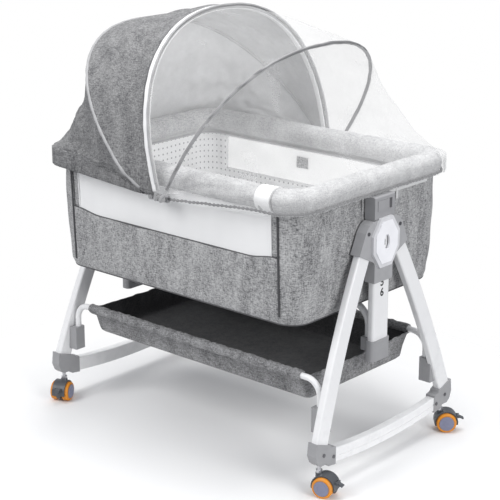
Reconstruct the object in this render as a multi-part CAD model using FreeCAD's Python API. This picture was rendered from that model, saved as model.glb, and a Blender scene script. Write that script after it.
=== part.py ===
import FreeCAD, Part
import math
import os
from FreeCAD import Vector

# Bedside sleeper crib on a rocking caster stand. Millimetres, +Z up. X runs along the crib from the
# hooded head end (-X) to the foot end (+X); -Y is the drop side. The origin is on the floor, midway
# between the casters.

os.makedirs("parts", exist_ok=True)

# ---- clearances -------------------------------------------------------------------------------
RUN_GAP = 0.3            # between two pieces of different bodies that slide past each other
PIN_GAP = 0.05           # radial play of a pin in its bore
FACE_GAP = 0.2           # between a sewn-on strip and the cloth it lies on
SEAM = 0.01              # how closely the faces of a cloth have to meet
ARC_FIT = 0.3            # how closely the arcs of a bent rod keep to its line

# ---- casters ----------------------------------------------------------------------------------
WHEEL_R = 25.0
WHEEL_INNER_Y = 5.6      # inner face of each of the twin wheels from the caster's middle
WHEEL_W = 19.0
WHEEL_EDGE = 5.0         # rounding of the tyre
AXLE_R = 3.0
TRAIL = 16.0             # wheel axle behind the swivel axis
FENDER_IN = 26.4
FENDER_OUT = 29.4
FENDER_HALF_W = 17.0
WEB_HALF_W = 5.0
BARREL_R = 8.5
BARREL_TOP = 53.7
STEM_R = 4.5
STEM_BOTTOM = 36.0
COLLAR_R = 7.5
COLLAR_BOTTOM = 54.0
COLLAR_TOP = 61.0
STEM_TOP = 96.0
LEVER_R = 3.0
LEVER_PIN_R = 1.3
LEVER_HALF_W = 6.5
LEVER_ARM = 15.0
LEVER_T = 3.2
LEVER_RISE = 22.0        # degrees above the axle at which the brake lever's pin lies
EAR_T = 2.6

# ---- A-frames ---------------------------------------------------------------------------------
FOOT_X = 431.0           # middle of the corner joint along the crib
FOOT_Y = 240.0
FOOT_Z = 124.0           # where the white leg meets its corner joint
HUB_X = 408.0            # middle plane of the hub, the column and the leg tops
LEG_W = 42.0
LEG_T = 20.0
LEG_WALL = 1.6
LEG_EDGE = 5.0
LEG_TOP = (57.0, 541.0)       # y, z of the leg's middle line inside the hub
LEG_BOTTOM = (246.0, 106.0)   # and inside the corner joint
LEG_BOW = 10.5           # how far the leg bows outwards between those two
SPLAY = math.degrees(math.atan((FOOT_X - HUB_X) / (520.0 - FOOT_Z)))
JOINT_HALF_T = 13.0
JOINT_BOTTOM = 74.0      # underside of the corner joint round the caster's stem
JOINT_OUTLINE = [(215.6, 115.5), (264.6, 132.5), (268.5, 101.0), (261.0, 82.0), (251.0, JOINT_BOTTOM),
                 (230.0, JOINT_BOTTOM), (222.0, 66.0), (196.0, 62.5), (196.0, 106.0), (206.0, 107.5),
                 (212.0, 110.5)]
ROCKER_H = 36.0
ROCKER_T = 22.0
ROCKER_END_Y = 222.0
ROCKER_END_Z = 86.5
ROCKER_SAG = 14.5
GROOVE_W = 6.0
GROOVE_DEPTH = 1.5
SCREW_R = 4.5
SCREW_HEAD = 1.6
CORNER_SCREWS = [(204.0, 84.0), (240.0, 98.0)]
HUB_SCREW = (60.0, 575.0)

# ---- columns, hubs and connectors -------------------------------------------------------------
COLUMN_W = 60.0
COLUMN_T = 20.0
COLUMN_R = 7.0
COLUMN_WALL = 1.8
COLUMN_BOTTOM = 268.0
COLUMN_TOP = 618.0
CAP_WALL = 4.0
CAP_BOTTOM = 256.0
CAP_TOP = 306.0
HUB_IN = 394.0
HUB_OUT = 421.0
HUB_MID_Z = 546.0
HUB_TOP = 600.0
HUB_OUTLINE = [(44.0, HUB_TOP), (57.0, 594.0), (70.0, 578.0), (92.0, 529.0), (46.0, 506.5), (36.0, 500.0),
               (34.5, 494.0), (34.5, 450.0)]
BEZEL_HALF = (50.0, 59.0)
BEZEL_CUT = 0.55         # how much of each half side the octagon's corners take off
BEZEL_W = 9.0
BEZEL_OUT = 428.0
BUTTON_T = 5.0
BUTTON_STROKE = 3.2
BUTTON_WINDOW = (10.0, 17.0)
BLOCK_IN = 392.0
BLOCK_OUT = 420.5
BLOCK_HALF_Y = 38.0
BLOCK_BOTTOM = HUB_TOP + RUN_GAP
BLOCK_TOP = 655.0
LATCH_HALF_Y = 27.0
LATCH_Z = (621.0, 645.0)
LATCH_T = 6.0
LATCH_STROKE = 2.5
LATCH_POCKET = 7.5

# ---- crib tub ---------------------------------------------------------------------------------
# each section of the cloth tub: z, half length, half width, corner radius
TUB_OUTER = [(388.0, 366.0, 254.0, 46.0), (394.0, 375.0, 263.0, 50.0), (408.0, 380.0, 268.0, 53.0),
             (668.0, 388.0, 277.0, 58.0)]
TUB_WALL = 5.0
TUB_FLOOR = 8.0
LINING_T = 3.0
LINING_TOP = 640.0
BOARD_T = 6.0
MATTRESS_T = 31.0
WINDOW_Z = (548.0, 640.0)
WINDOW_X = 312.0
DROP_X = 330.0           # half length of the side that drops
NET_T = 1.2
RIM_X = 380.0            # middle line of the rim tube
RIM_Y = 270.0
RIM_R = 50.0
RIM_Z = 681.0
ROLL_R = 29.0
RIM_TUBE_R = 10.0
RIM_TUBE_WALL = 1.5
BAND_X = (284.0, 326.0)
BAND_T = 1.4
BAR_R = 8.0              # bar under the floor, from column to column
BAR_BEND = 50.0
BAR_END_X = 381.5
BAR_BOTTOM = 290.0
STRIP_W = 5.0
STRIP_T = 1.4

# ---- cover with three bows --------------------------------------------------------------------
HEM_R = 3.0
HEM_Y = 304.6
HEM_R_CORNER = 84.0
HEM_SAG = 22.0           # how far the hem dips to the clips
HEM_DROP = 21.5          # the hem's middle below the middle of the rim
CLIP_Z = 636.0           # height of the bows' pivots
CLIP_PLATE_Y = (300.9, 308.0)
CLIP_END = 9.0           # plate beyond the outer two pivots
CLIP_BELOW = 8.0         # plate below the pivots
PIVOT_R = 2.5
PIN_PAST = 1.6           # pin beyond the eye that turns on it
EYE_R = 6.0
EYE_T = 7.6
ARM_T = 3.0              # flat arm of a bow that carries the next bow's pin
ROD_R = 3.5
BOW_LEG = 80.0           # straight part of each bow above its eye
# pivot x, lean from upright in degrees (towards the foot is positive), half width, height, y of its eyes
BOW_A = (-20.0, -44.0, 345.0, 478.0, 312.1)
BOW_B = (0.0, -12.0, 318.0, 408.0, 315.4)
BOW_C = (20.0, 32.0, 320.0, 404.0, 318.7)
ROD_START = 4.0          # where the rod leaves its eye, above the pivot
CLOTH_T = 1.4
BOW_FULLNESS = 2.3       # exponent of the bows' rounded-square outline, 2 for a plain ellipse
BOW_STEPS = 16
CHAIN_STEPS = 8
BOW_SPLITS = (8.0, 91.0, 376.0)   # along each bow from its eye: start, shoulder and quarter of the cloth
SKIRT_Y = 318.4
SKIRT_X = 410.0
SKIRT_R = 92.0
SKIRT_START = (48.0, 44.0)    # x at which the skirt's hem and its upper line begin beside the clips
SKIRT_HEM_Z = (640.0, 657.0)  # height of the hem beside the clips and round the end
SKIRT_TOP_Z = (658.0, 697.0)

# ---- storage basket ---------------------------------------------------------------------------
BASKET_TUBE_R = 7.5
BASKET_TUBE_Y = 207.0
BASKET_TUBE_Z = 258.0
BASKET_BEND_R = 38.0
BASKET_END_X = FOOT_X - 27.0     # upright end of the basket's tube, inside of the foot
BASKET_BEND_X = BASKET_END_X - BASKET_BEND_R
BASKET_TUBE_END = 150.0
BASKET_CLOTH_T = 2.5
BASKET_SLEEVE_X = 350.0
# z, half length, half width, corner radius of the tray
BASKET_OUTER = [(190.0, 352.0, 182.0, 12.0), (258.0, 360.0, 207.0, 10.0)]
BRACKET_Z = (138.0, 198.0)
BRACKET_HALF_Y = 12.0
BRACKET_IN = BASKET_END_X - BASKET_TUBE_R - 3.0
BRACKET_ON = 8.0         # how much farther the bracket reaches outwards over the leg


def box(x, y, z):
    """A box between pairs of coordinates."""
    return Part.makeBox(x[1] - x[0], y[1] - y[0], z[1] - z[0], Vector(x[0], y[0], z[0]))


def mirrored(shape, axis):
    """The shape mirrored through the middle plane across the axis."""
    return shape.mirror(Vector(0, 0, 0), Vector(*axis))


def across_x(shape):
    return mirrored(shape, (1, 0, 0))


def across_y(shape):
    return mirrored(shape, (0, 1, 0))


# which edges of outline_wire are the straight back and front sides
back_side = 2
front_side = 6


def outline_wire(half_x, half_y, corner, z):
    """A rounded rectangle at height z."""
    k = corner * (1 - math.sqrt(0.5))
    edges = []
    marks = [(half_x, -half_y + corner), (half_x, half_y - corner), (half_x - k, half_y - k),
             (half_x - corner, half_y), (-half_x + corner, half_y), (-half_x + k, half_y - k),
             (-half_x, half_y - corner), (-half_x, -half_y + corner), (-half_x + k, -half_y + k),
             (-half_x + corner, -half_y), (half_x - corner, -half_y), (half_x - k, -half_y + k)]
    points = [Vector(x, y, z) for x, y in marks]
    for i in range(0, 12, 3):
        edges.append(Part.makeLine(points[i], points[i + 1]))
        edges.append(Part.Arc(points[i + 1], points[i + 2], points[(i + 3) % 12]).toShape())
    return Part.Wire(edges)


def closed(faces):
    """The solid inside faces that meet along their edges."""
    shell = Part.makeShell(faces)
    shell.sewShape()
    solid = Part.makeSolid(shell)
    if solid.Volume < 0:
        solid.reverse()
    solid.fix(SEAM, SEAM, 10 * SEAM)
    return solid


def tray(sections):
    """A solid through rounded rectangles, each given as z, half length, half width, corner."""
    wires = [outline_wire(hx, hy, r, z) for z, hx, hy, r in sections]
    faces = [Part.Face(wires[0]), Part.Face(wires[-1])]
    for low, high in zip(wires, wires[1:]):
        for i, (a, b) in enumerate(zip(low.Edges, high.Edges)):
            if i % 2:
                faces.append(Part.makeRuledSurface(a, b))
            else:
                ring = [v.Point for v in a.Vertexes] + [v.Point for v in reversed(b.Vertexes)]
                faces.append(Part.Face(Part.makePolygon(ring + ring[:1])))
    return closed(faces)


def shrunk(sections, by, bottom, top):
    """The sections moved inwards, cut or stretched to run from bottom to top."""
    out = []
    for i, (z, hx, hy, r) in enumerate(sections):
        level = bottom if i == 0 else (top if i == len(sections) - 1 else z)
        if i and level <= bottom:
            continue
        hx_at, hy_at, r_at = tub_half(sections, level)
        out.append((level, hx_at - by, hy_at - by, r_at - by))
    return out


def tub_half(sections, z):
    """Half length, half width and corner radius of the tray at height z."""
    low, high = sections[0], sections[-1]
    for a, b in zip(sections, sections[1:]):
        if a[0] <= z <= b[0]:
            low, high = a, b
    if z > sections[-1][0]:
        low, high = sections[-2], sections[-1]
    f = (z - low[0]) / (high[0] - low[0])
    return tuple(low[i] + f * (high[i] - low[i]) for i in (1, 2, 3))


def pipe(edges, radius):
    """A round bar along a line of edges."""
    wire = Part.Wire(edges)
    start = edges[0].valueAt(edges[0].FirstParameter)
    along = edges[0].tangentAt(edges[0].FirstParameter)
    ring = Part.Wire(Part.makeCircle(radius, start, along))
    return wire.makePipeShell([ring], True, False)


def strip(start, end, bow, width, thick):
    """A flat bar of rectangular section that bows sideways between two points of the YZ plane."""
    ay, az = start
    by, bz = end
    half = math.hypot(by - ay, bz - az) / 2
    radius = (half ** 2 + bow ** 2) / (2 * abs(bow))
    ux, uz = (by - ay) / (2 * half), (bz - az) / (2 * half)
    side = 1 if bow > 0 else -1
    ny, nz = -uz * side, ux * side
    cy = (ay + by) / 2 - ny * (radius - abs(bow))
    cz = (az + bz) / 2 - nz * (radius - abs(bow))
    reach = math.asin(half / radius)

    def at(r, a):
        c, s = math.cos(a), math.sin(a)
        return Vector(-thick / 2, cy + r * (ny * c + ux * s), cz + r * (nz * c + uz * s))

    big, small = radius + width / 2, radius - width / 2
    edges = [Part.Arc(at(big, -reach), at(big, 0), at(big, reach)).toShape(),
             Part.makeLine(at(big, reach), at(small, reach)),
             Part.Arc(at(small, reach), at(small, 0), at(small, -reach)).toShape(),
             Part.makeLine(at(small, -reach), at(big, -reach))]
    return Part.Face(Part.Wire(edges)).extrude(Vector(thick, 0, 0))


def soft_edges(shape, radius, at_least):
    """The shape with its long edges rounded."""
    return shape.makeFillet(radius, [e for e in shape.Edges if e.Length > at_least])


def slab(outline, x):
    """An outline in the YZ plane pushed out between two x positions."""
    points = [Vector(x[0], y, z) for y, z in outline]
    return Part.Face(Part.makePolygon(points + points[:1])).extrude(Vector(x[1] - x[0], 0, 0))


def both_ways(half):
    """A closed outline from its half at positive y."""
    return half + [(-y, z) for y, z in reversed(half)]


def octagon(half_y, half_z, x, mid_z):
    """An octagonal plate across x."""
    cy, cz = half_y * (1 - BEZEL_CUT), half_z * (1 - BEZEL_CUT * 1.2)
    half = [(cy, mid_z + half_z), (half_y, mid_z + cz), (half_y, mid_z - cz), (cy, mid_z - half_z)]
    return slab(both_ways(half), x)


def column_bar(width, thick, corner, z):
    """A rounded upright bar round the hub's middle plane."""
    wire = outline_wire(thick / 2, width / 2, corner, z[0])
    bar = Part.Face(wire).extrude(Vector(0, 0, z[1] - z[0]))
    bar.translate(Vector(HUB_X, 0, 0))
    return bar


def save(name, *shapes):
    shape = shapes[0] if len(shapes) == 1 else Part.makeCompound(list(shapes))
    solids = shape.Solids
    if len(solids) == 1 and len(shapes) == 1:
        shape = solids[0]
    shape.exportStep("parts/" + name + ".step")
    print(name, len(solids), round(shape.Volume / 1000, 1), shape.isValid())


# ---- A-frames ---------------------------------------------------------------------------------
def leg(width, thick):
    """The back leg of the foot end, leaning in from its foot."""
    bar = strip(LEG_TOP, LEG_BOTTOM, LEG_BOW, width, thick)
    bar.translate(Vector(FOOT_X, 0, 0))
    bar.rotate(Vector(FOOT_X, 0, FOOT_Z), Vector(0, 1, 0), -SPLAY)
    return bar


leg_outer = leg(LEG_W, LEG_T)
leg_back = soft_edges(leg_outer, LEG_EDGE, 100).cut(leg(LEG_W - 2 * LEG_WALL, LEG_T - 2 * LEG_WALL))
rocker_outer = strip((-ROCKER_END_Y, ROCKER_END_Z), (ROCKER_END_Y, ROCKER_END_Z), -ROCKER_SAG,
                     ROCKER_H, ROCKER_T)
rocker_bore = strip((-ROCKER_END_Y, ROCKER_END_Z), (ROCKER_END_Y, ROCKER_END_Z), -ROCKER_SAG,
                    ROCKER_H - 2 * LEG_WALL, ROCKER_T - 2 * LEG_WALL - GROOVE_DEPTH)
groove = strip((-ROCKER_END_Y, ROCKER_END_Z), (ROCKER_END_Y, ROCKER_END_Z), -ROCKER_SAG,
               GROOVE_W, 2 * GROOVE_DEPTH)
groove.translate(Vector(ROCKER_T / 2, 0, 0))
rocker = soft_edges(rocker_outer, 3.0, 100).cut(rocker_bore).cut(groove)
for bar in (rocker, rocker_outer):
    bar.translate(Vector(FOOT_X, 0, 0))

stem_hole = Part.makeCylinder(STEM_R, STEM_TOP - COLLAR_TOP, Vector(FOOT_X, FOOT_Y, COLLAR_TOP))
corner = slab(JOINT_OUTLINE, (FOOT_X - JOINT_HALF_T, FOOT_X + JOINT_HALF_T))
corner = corner.cut(leg_outer).cut(rocker_outer).cut(stem_hole)
corner = max(corner.Solids, key=lambda s: s.Volume)


def screw(x, y, z, facing):
    """A round screw head standing on a face across x."""
    return Part.makeCylinder(SCREW_R, SCREW_HEAD, Vector(x, y, z), Vector(facing, 0, 0))


corner_screws = [screw(FOOT_X + JOINT_HALF_T, y, z, 1) for y, z in CORNER_SCREWS]

column_outer = column_bar(COLUMN_W, COLUMN_T, COLUMN_R, (COLUMN_BOTTOM, COLUMN_TOP))
column = column_outer.cut(column_bar(COLUMN_W - 2 * COLUMN_WALL, COLUMN_T - 2 * COLUMN_WALL,
                                     COLUMN_R - COLUMN_WALL, (COLUMN_BOTTOM, COLUMN_TOP)))
channel = column_bar(COLUMN_W + 2 * RUN_GAP, COLUMN_T + 2 * RUN_GAP, COLUMN_R + RUN_GAP, (400, 700))
hub = slab(both_ways(HUB_OUTLINE), (HUB_IN, HUB_OUT)).cut(channel).cut(leg_outer).cut(across_y(leg_outer))
hub = max(hub.Solids, key=lambda s: s.Volume)
bezel = octagon(BEZEL_HALF[0], BEZEL_HALF[1], (HUB_OUT, BEZEL_OUT), HUB_MID_Z)
bezel = bezel.cut(octagon(BEZEL_HALF[0] - BEZEL_W, BEZEL_HALF[1] - BEZEL_W, (HUB_OUT, BEZEL_OUT), HUB_MID_Z))
hub = hub.fuse(bezel).removeSplitter()
button_back = HUB_OUT + RUN_GAP + BUTTON_STROKE
button = octagon(BEZEL_HALF[0] - BEZEL_W - RUN_GAP, BEZEL_HALF[1] - BEZEL_W - RUN_GAP,
                 (button_back, button_back + BUTTON_T), HUB_MID_Z)
button = button.cut(octagon(BUTTON_WINDOW[0], BUTTON_WINDOW[1], (button_back, button_back + BUTTON_T),
                            HUB_MID_Z))
hub_screws = [screw(HUB_OUT, side * HUB_SCREW[0], HUB_SCREW[1], 1) for side in (-1, 1)]

# ---- under-floor bar and column ends ----------------------------------------------------------
bar_top = TUB_OUTER[0][0] - RUN_GAP - BAR_R
bar_k = BAR_BEND * (1 - math.sqrt(0.5))


def under_bar(radius):
    """The bar that crosses under the crib's floor and turns down into both column ends."""
    inner = BAR_END_X - BAR_BEND
    drop = bar_top - BAR_BEND
    right = [Part.Arc(Vector(inner, 0, bar_top), Vector(BAR_END_X - bar_k, 0, bar_top - bar_k),
                      Vector(BAR_END_X, 0, drop)).toShape(),
             Part.makeLine(Vector(BAR_END_X, 0, drop), Vector(BAR_END_X, 0, BAR_BOTTOM))]
    left = [Part.makeLine(Vector(-BAR_END_X, 0, BAR_BOTTOM), Vector(-BAR_END_X, 0, drop)),
            Part.Arc(Vector(-BAR_END_X, 0, drop), Vector(-BAR_END_X + bar_k, 0, bar_top - bar_k),
                     Vector(-inner, 0, bar_top)).toShape()]
    middle = [Part.makeLine(Vector(-inner, 0, bar_top), Vector(inner, 0, bar_top))]
    return pipe(left + middle + right, radius)


floor_bar = under_bar(BAR_R)
cap = column_bar(COLUMN_W + 2 * CAP_WALL, COLUMN_T + 2 * CAP_WALL, COLUMN_R + CAP_WALL,
                 (CAP_BOTTOM, CAP_TOP))
cap = cap.fuse(box((BAR_END_X - BAR_R - 3, HUB_X - COLUMN_T / 2), (-14, 14), (CAP_BOTTOM + 16, CAP_TOP - 2)))
cap = cap.cut(column_outer).cut(floor_bar).removeSplitter()

block = box((BLOCK_IN, BLOCK_OUT), (-BLOCK_HALF_Y, BLOCK_HALF_Y), (BLOCK_BOTTOM, BLOCK_TOP))
block = soft_edges(block, 4.0, 60).cut(column_outer)
pocket_half = LATCH_HALF_Y + RUN_GAP
pocket = box((BLOCK_OUT - LATCH_POCKET, BLOCK_OUT), (-pocket_half, pocket_half),
             (LATCH_Z[0] - RUN_GAP, LATCH_Z[1] + RUN_GAP))
block = block.cut(pocket)
neck = box((BLOCK_IN - 10, BLOCK_IN + 6), (-24, 24), (BLOCK_TOP - 10, RIM_Z - RIM_TUBE_R))
block = block.fuse(neck).cut(column_outer).removeSplitter()
latch_in = BLOCK_OUT - LATCH_POCKET + RUN_GAP + LATCH_STROKE
latch = box((latch_in, latch_in + LATCH_T), (-LATCH_HALF_Y, LATCH_HALF_Y * 0.55), LATCH_Z)


# ---- rim --------------------------------------------------------------------------------------
def rim(radius):
    return pipe(outline_wire(RIM_X, RIM_Y, RIM_R, RIM_Z).Edges, radius)


drop_zone = box((-DROP_X, DROP_X), (-RIM_Y - 60, -RIM_Y + 60), (RIM_Z - 60, RIM_Z + 60))
drop_cut = box((-DROP_X - RUN_GAP, DROP_X + RUN_GAP), (-RIM_Y - 60, -RIM_Y + 60), (RIM_Z - 60, RIM_Z + 60))
roll_whole = rim(ROLL_R)
tube_whole = rim(RIM_TUBE_R)
tube_bore = rim(RIM_TUBE_R - RIM_TUBE_WALL)
rim_roll = roll_whole.cut(tube_whole).cut(drop_cut).cut(block).cut(across_x(block))
rim_tube = tube_whole.cut(tube_bore).cut(drop_cut)
rail_axis = Vector(1, 0, 0)


def rail_bar(radius, x=(-DROP_X + RUN_GAP, DROP_X - RUN_GAP)):
    return Part.makeCylinder(radius, x[1] - x[0], Vector(x[0], -RIM_Y, RIM_Z), rail_axis)


rail_roll = rail_bar(ROLL_R).cut(rail_bar(RIM_TUBE_R))
rail_tube = rail_bar(RIM_TUBE_R).cut(rail_bar(RIM_TUBE_R - RIM_TUBE_WALL))
rail_band = rail_bar(ROLL_R + BAND_T, BAND_X).cut(rail_bar(ROLL_R, BAND_X))

# ---- tub --------------------------------------------------------------------------------------
tub_top = TUB_OUTER[-1][0]
tub_space = tray(shrunk(TUB_OUTER, TUB_WALL, TUB_OUTER[0][0] + TUB_FLOOR, tub_top + 1))
drop_gap = box((-DROP_X, DROP_X), (-RIM_Y - 40, -RIM_Y + 40), (WINDOW_Z[0], tub_top + 1))
back_gap = box((-WINDOW_X, WINDOW_X), (RIM_Y - 40, RIM_Y + 40), WINDOW_Z)
tub_shell = tray(TUB_OUTER).cut(tub_space).cut(drop_gap).cut(back_gap).cut(roll_whole)
tub_shell = tub_shell.cut(block).cut(across_x(block))
tub_shell = max(tub_shell.Solids, key=lambda s: s.Volume)
board_z = TUB_OUTER[0][0] + TUB_FLOOR
board_x, board_y, board_r = tub_half(TUB_OUTER, board_z)
floor_board = tray([(board_z, board_x - TUB_WALL - 1, board_y - TUB_WALL - 1, board_r - TUB_WALL),
                    (board_z + BOARD_T, board_x - TUB_WALL - 1, board_y - TUB_WALL - 1, board_r - TUB_WALL)])
lining_low = board_z + BOARD_T + FACE_GAP
lining_out = shrunk(TUB_OUTER, TUB_WALL + FACE_GAP, lining_low, LINING_TOP)
lining_in = shrunk(TUB_OUTER, TUB_WALL + FACE_GAP + LINING_T, lining_low - 1, LINING_TOP + 1)
lining = tray(lining_out).cut(tray(lining_in)).cut(drop_gap).cut(back_gap)
lining = max(lining.Solids, key=lambda s: s.Volume)
bed_x, bed_y, bed_r = tub_half(TUB_OUTER, lining_low)
bed_in = TUB_WALL + LINING_T + 2.5
mattress = tray([(lining_low, bed_x - bed_in - 7, bed_y - bed_in - 7, 34),
                 (lining_low + 7, bed_x - bed_in, bed_y - bed_in, 40),
                 (lining_low + MATTRESS_T - 9, bed_x - bed_in, bed_y - bed_in, 40),
                 (lining_low + MATTRESS_T - 3, bed_x - bed_in - 8, bed_y - bed_in - 8, 34),
                 (lining_low + MATTRESS_T, bed_x - bed_in - 60, bed_y - bed_in - 60, 28)])


def wall_sheet(z, offset, thick, x):
    """A flat sheet along the tub's long wall, at an offset outwards from the cloth."""
    low = tub_half(TUB_OUTER, z[0])[1] + offset
    high = tub_half(TUB_OUTER, z[1])[1] + offset
    return slab([(low, z[0]), (high, z[1]), (high + thick, z[1]), (low + thick, z[0])], x)


roll_bottom = RIM_Z - ROLL_R
window_top = roll_bottom - RUN_GAP
window_low = WINDOW_Z[0] + RUN_GAP
back_net = wall_sheet(WINDOW_Z, -TUB_WALL / 2, NET_T, (-WINDOW_X, WINDOW_X))
band_room = rail_bar(ROLL_R + BAND_T + RUN_GAP, (BAND_X[0] - RUN_GAP, BAND_X[1] + RUN_GAP))
front_net = across_y(wall_sheet((window_low, window_top), -TUB_WALL / 2, NET_T, (-WINDOW_X, WINDOW_X)))
front_net = front_net.cut(band_room)
border = across_y(wall_sheet((window_low, window_top), -TUB_WALL, TUB_WALL, (WINDOW_X, DROP_X - RUN_GAP)))
border_right = border.cut(band_room)
side_zip = wall_sheet((412.0, roll_bottom - 6), FACE_GAP, STRIP_T, (DROP_X + 1, DROP_X + 1 + STRIP_W))
side_zip = across_y(side_zip)
side_zip = side_zip.cut(tub_shell)
end_x = tub_half(TUB_OUTER, 646.0)[0] + FACE_GAP
end_zip = box((end_x, end_x + STRIP_T), (60.0, 210.0), (642.0, 650.0))
end_pull = box((end_x + STRIP_T, end_x + 2 * STRIP_T), (84.0, 91.0), (624.0, 648.0))


# ---- cover ------------------------------------------------------------------------------------
hem_out = math.sqrt((ROLL_R + HEM_R + RUN_GAP) ** 2 - HEM_DROP ** 2)
hem_z = RIM_Z - HEM_DROP


def hem_side(side):
    """One long side of the hem, dipping from both corners to the clip."""
    reach = RIM_X + hem_out - HEM_R_CORNER
    along = Vector(-side, 0, 0)
    marks = [(1.0, 0.0), (0.7, 0.16), (0.35, 0.7), (0.0, 1.0), (-0.35, 0.7), (-0.7, 0.16), (-1.0, 0.0)]
    points = [Vector(side * f * reach, side * HEM_Y, hem_z - g * HEM_SAG) for f, g in marks]
    curve = Part.BSplineCurve()
    curve.interpolate(Points=points, InitialTangent=along * reach, FinalTangent=along * reach)
    return [arc.toShape() for arc in curve.toBiArcs(ARC_FIT)]


hem_edges = outline_wire(RIM_X + hem_out, HEM_Y, HEM_R_CORNER, hem_z).Edges
hem_path = hem_side(1) + hem_edges[back_side + 1:front_side] + hem_side(-1) + hem_edges[front_side + 1:]
hem_path += hem_edges[:back_side]
hem = pipe(hem_path, HEM_R)


def across_bar(radius, x, y):
    """A round bar along y at the height of the bows' pivots."""
    return Part.makeCylinder(radius, y[1] - y[0], Vector(x, y[0], CLIP_Z), Vector(0, 1, 0))


def eye_faces(bow):
    """Inner and outer y of a bow's eye."""
    return bow[4] - EYE_T / 2, bow[4] + EYE_T / 2


clip_top = hem_z - HEM_SAG + HEM_R + 4
clip = box((BOW_A[0] - CLIP_END, BOW_C[0] + CLIP_END), CLIP_PLATE_Y, (CLIP_Z - CLIP_BELOW, clip_top))
clip = soft_edges(clip, 2.0, 30)
clip = clip.fuse(across_bar(PIVOT_R, BOW_A[0], (CLIP_PLATE_Y[1], eye_faces(BOW_A)[1] + PIN_PAST)))
clip = clip.cut(hem)


def bow_point(bow, y, up, shift=0.0):
    """A point of a bow's leaning plane, or of a plane shifted towards the foot end."""
    a = math.radians(bow[1])
    return Vector(bow[0] + up * math.sin(a) + shift * math.cos(a), y,
                  CLIP_Z + up * math.cos(a) - shift * math.sin(a))


def spline(points):
    curve = Part.BSplineCurve()
    curve.interpolate(points)
    return curve


def flat_bow(bow):
    """The bow's middle line laid flat, x across the crib and y up along the bow."""
    half, rise = bow[2], bow[3] - BOW_LEG
    power = 2 / BOW_FULLNESS
    eye = bow[4]
    points = [Vector(-eye, ROD_START), Vector(-(eye + half) / 2, BOW_LEG / 2)]
    for i in range(BOW_STEPS + 1):
        c, s = math.cos(math.pi * i / BOW_STEPS), math.sin(math.pi * i / BOW_STEPS)
        points.append(Vector(-math.copysign(half * abs(c) ** power, c), BOW_LEG + rise * abs(s) ** power))
    return spline(points + [Vector((eye + half) / 2, BOW_LEG / 2), Vector(eye, ROD_START)])


def bow_rod(bow, carried=None):
    """A round spring bow with an eye at each end, and an arm at each with the pin of the bow it carries."""
    path = Part.Wire([arc.toShape() for arc in flat_bow(bow).toBiArcs(ARC_FIT)])
    ring = Part.Wire(Part.makeCircle(ROD_R, Vector(-bow[4], ROD_START, 0), path.Edges[0].tangentAt(0)))
    rod = path.makePipeShell([ring], True, False)
    lean = math.radians(bow[1])
    rod.Placement = FreeCAD.Placement(FreeCAD.Matrix(0, math.sin(lean), math.cos(lean), bow[0], 1, 0, 0, 0,
                                                     0, math.cos(lean), -math.sin(lean), CLIP_Z, 0, 0, 0, 1))
    inner, outer = eye_faces(bow)
    foot = across_bar(EYE_R, bow[0], (inner, outer))
    if carried:
        flat = (inner, inner + ARM_T)
        foot = foot.fuse(box((bow[0], carried[0]), flat, (CLIP_Z - EYE_R, CLIP_Z + EYE_R)))
        foot = foot.fuse(across_bar(EYE_R, carried[0], flat))
        foot = foot.fuse(across_bar(PIVOT_R, carried[0], (flat[1], eye_faces(carried)[1] + PIN_PAST)))
    bore = across_bar(PIVOT_R + PIN_GAP, bow[0], (inner - EYE_T, outer + EYE_T))
    rod = rod.fuse(foot).fuse(across_y(foot)).cut(bore).cut(across_y(bore))
    return max(rod.Solids, key=lambda s: s.Volume)


def bow_chain(bow, out, shift):
    """Three edges from a bow's front foot to its top, at a distance outside its middle line."""
    line = flat_bow(bow)
    length = line.length()
    start, shoulder, quarter = BOW_SPLITS
    ends = [start, shoulder, quarter, length / 2]
    edges = []
    for a, b in zip(ends, ends[1:]):
        points = []
        for i in range(CHAIN_STEPS + 1):
            u = line.parameterAtDistance(a + (b - a) * i / CHAIN_STEPS)
            at, along = line.value(u), line.tangent(u)[0]
            points.append(bow_point(bow, at.x - along.y * out, at.y + along.x * out, shift))
        edges.append(spline(points).toShape())
    return edges


def rim_chain(end, out, start, z):
    """Three edges round one end of the rim, from the front clip to the middle of the end."""
    sx, sy, r = SKIRT_X + out, SKIRT_Y + out, SKIRT_R + out
    k = r * (1 - math.sqrt(0.5))
    front = [(start, z[0], sy), (sx - r, z[1], sy), (sx - k, z[1], sy - k), (sx, z[1], sy - r), (sx, z[1], 0.0)]
    f = [Vector(end * x, -y, h) for x, h, y in front]
    return [Part.makeLine(f[0], f[1]), Part.Arc(f[1], f[2], f[3]).toShape(), Part.makeLine(f[3], f[4])]


def cloth(sections):
    """A thin closed solid through sections, each an outer and an inner chain over the front half."""
    faces = []
    for a, b in zip(sections, sections[1:]):
        for chain in (0, 1):
            faces += [Part.makeRuledSurface(p, q) for p, q in zip(a[chain], b[chain])]
        ends = [Part.makeLine(s[0][0].valueAt(s[0][0].FirstParameter), s[1][0].valueAt(s[1][0].FirstParameter))
                for s in (a, b)]
        faces.append(Part.makeRuledSurface(*ends))
    for section in (sections[0], sections[-1]):
        faces += [Part.makeRuledSurface(p, q) for p, q in zip(*section)]
    return closed(faces + [across_y(face) for face in faces])


def over_bow(bow, shift):
    """The outer and inner chain of the cloth where it lies on a bow."""
    return [bow_chain(bow, ROD_R + RUN_GAP + ARC_FIT + t, shift) for t in (CLOTH_T, 0.0)]


def round_rim(end, start, z):
    return [rim_chain(end, t, start, z) for t in (CLOTH_T, 0.0)]


def end_cloth(end, bow, shift):
    """The cloth from a bow down over one end of the rim."""
    return cloth([over_bow(bow, shift), round_rim(end, SKIRT_START[1], SKIRT_TOP_Z),
                  round_rim(end, SKIRT_START[0], SKIRT_HEM_Z)])


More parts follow.
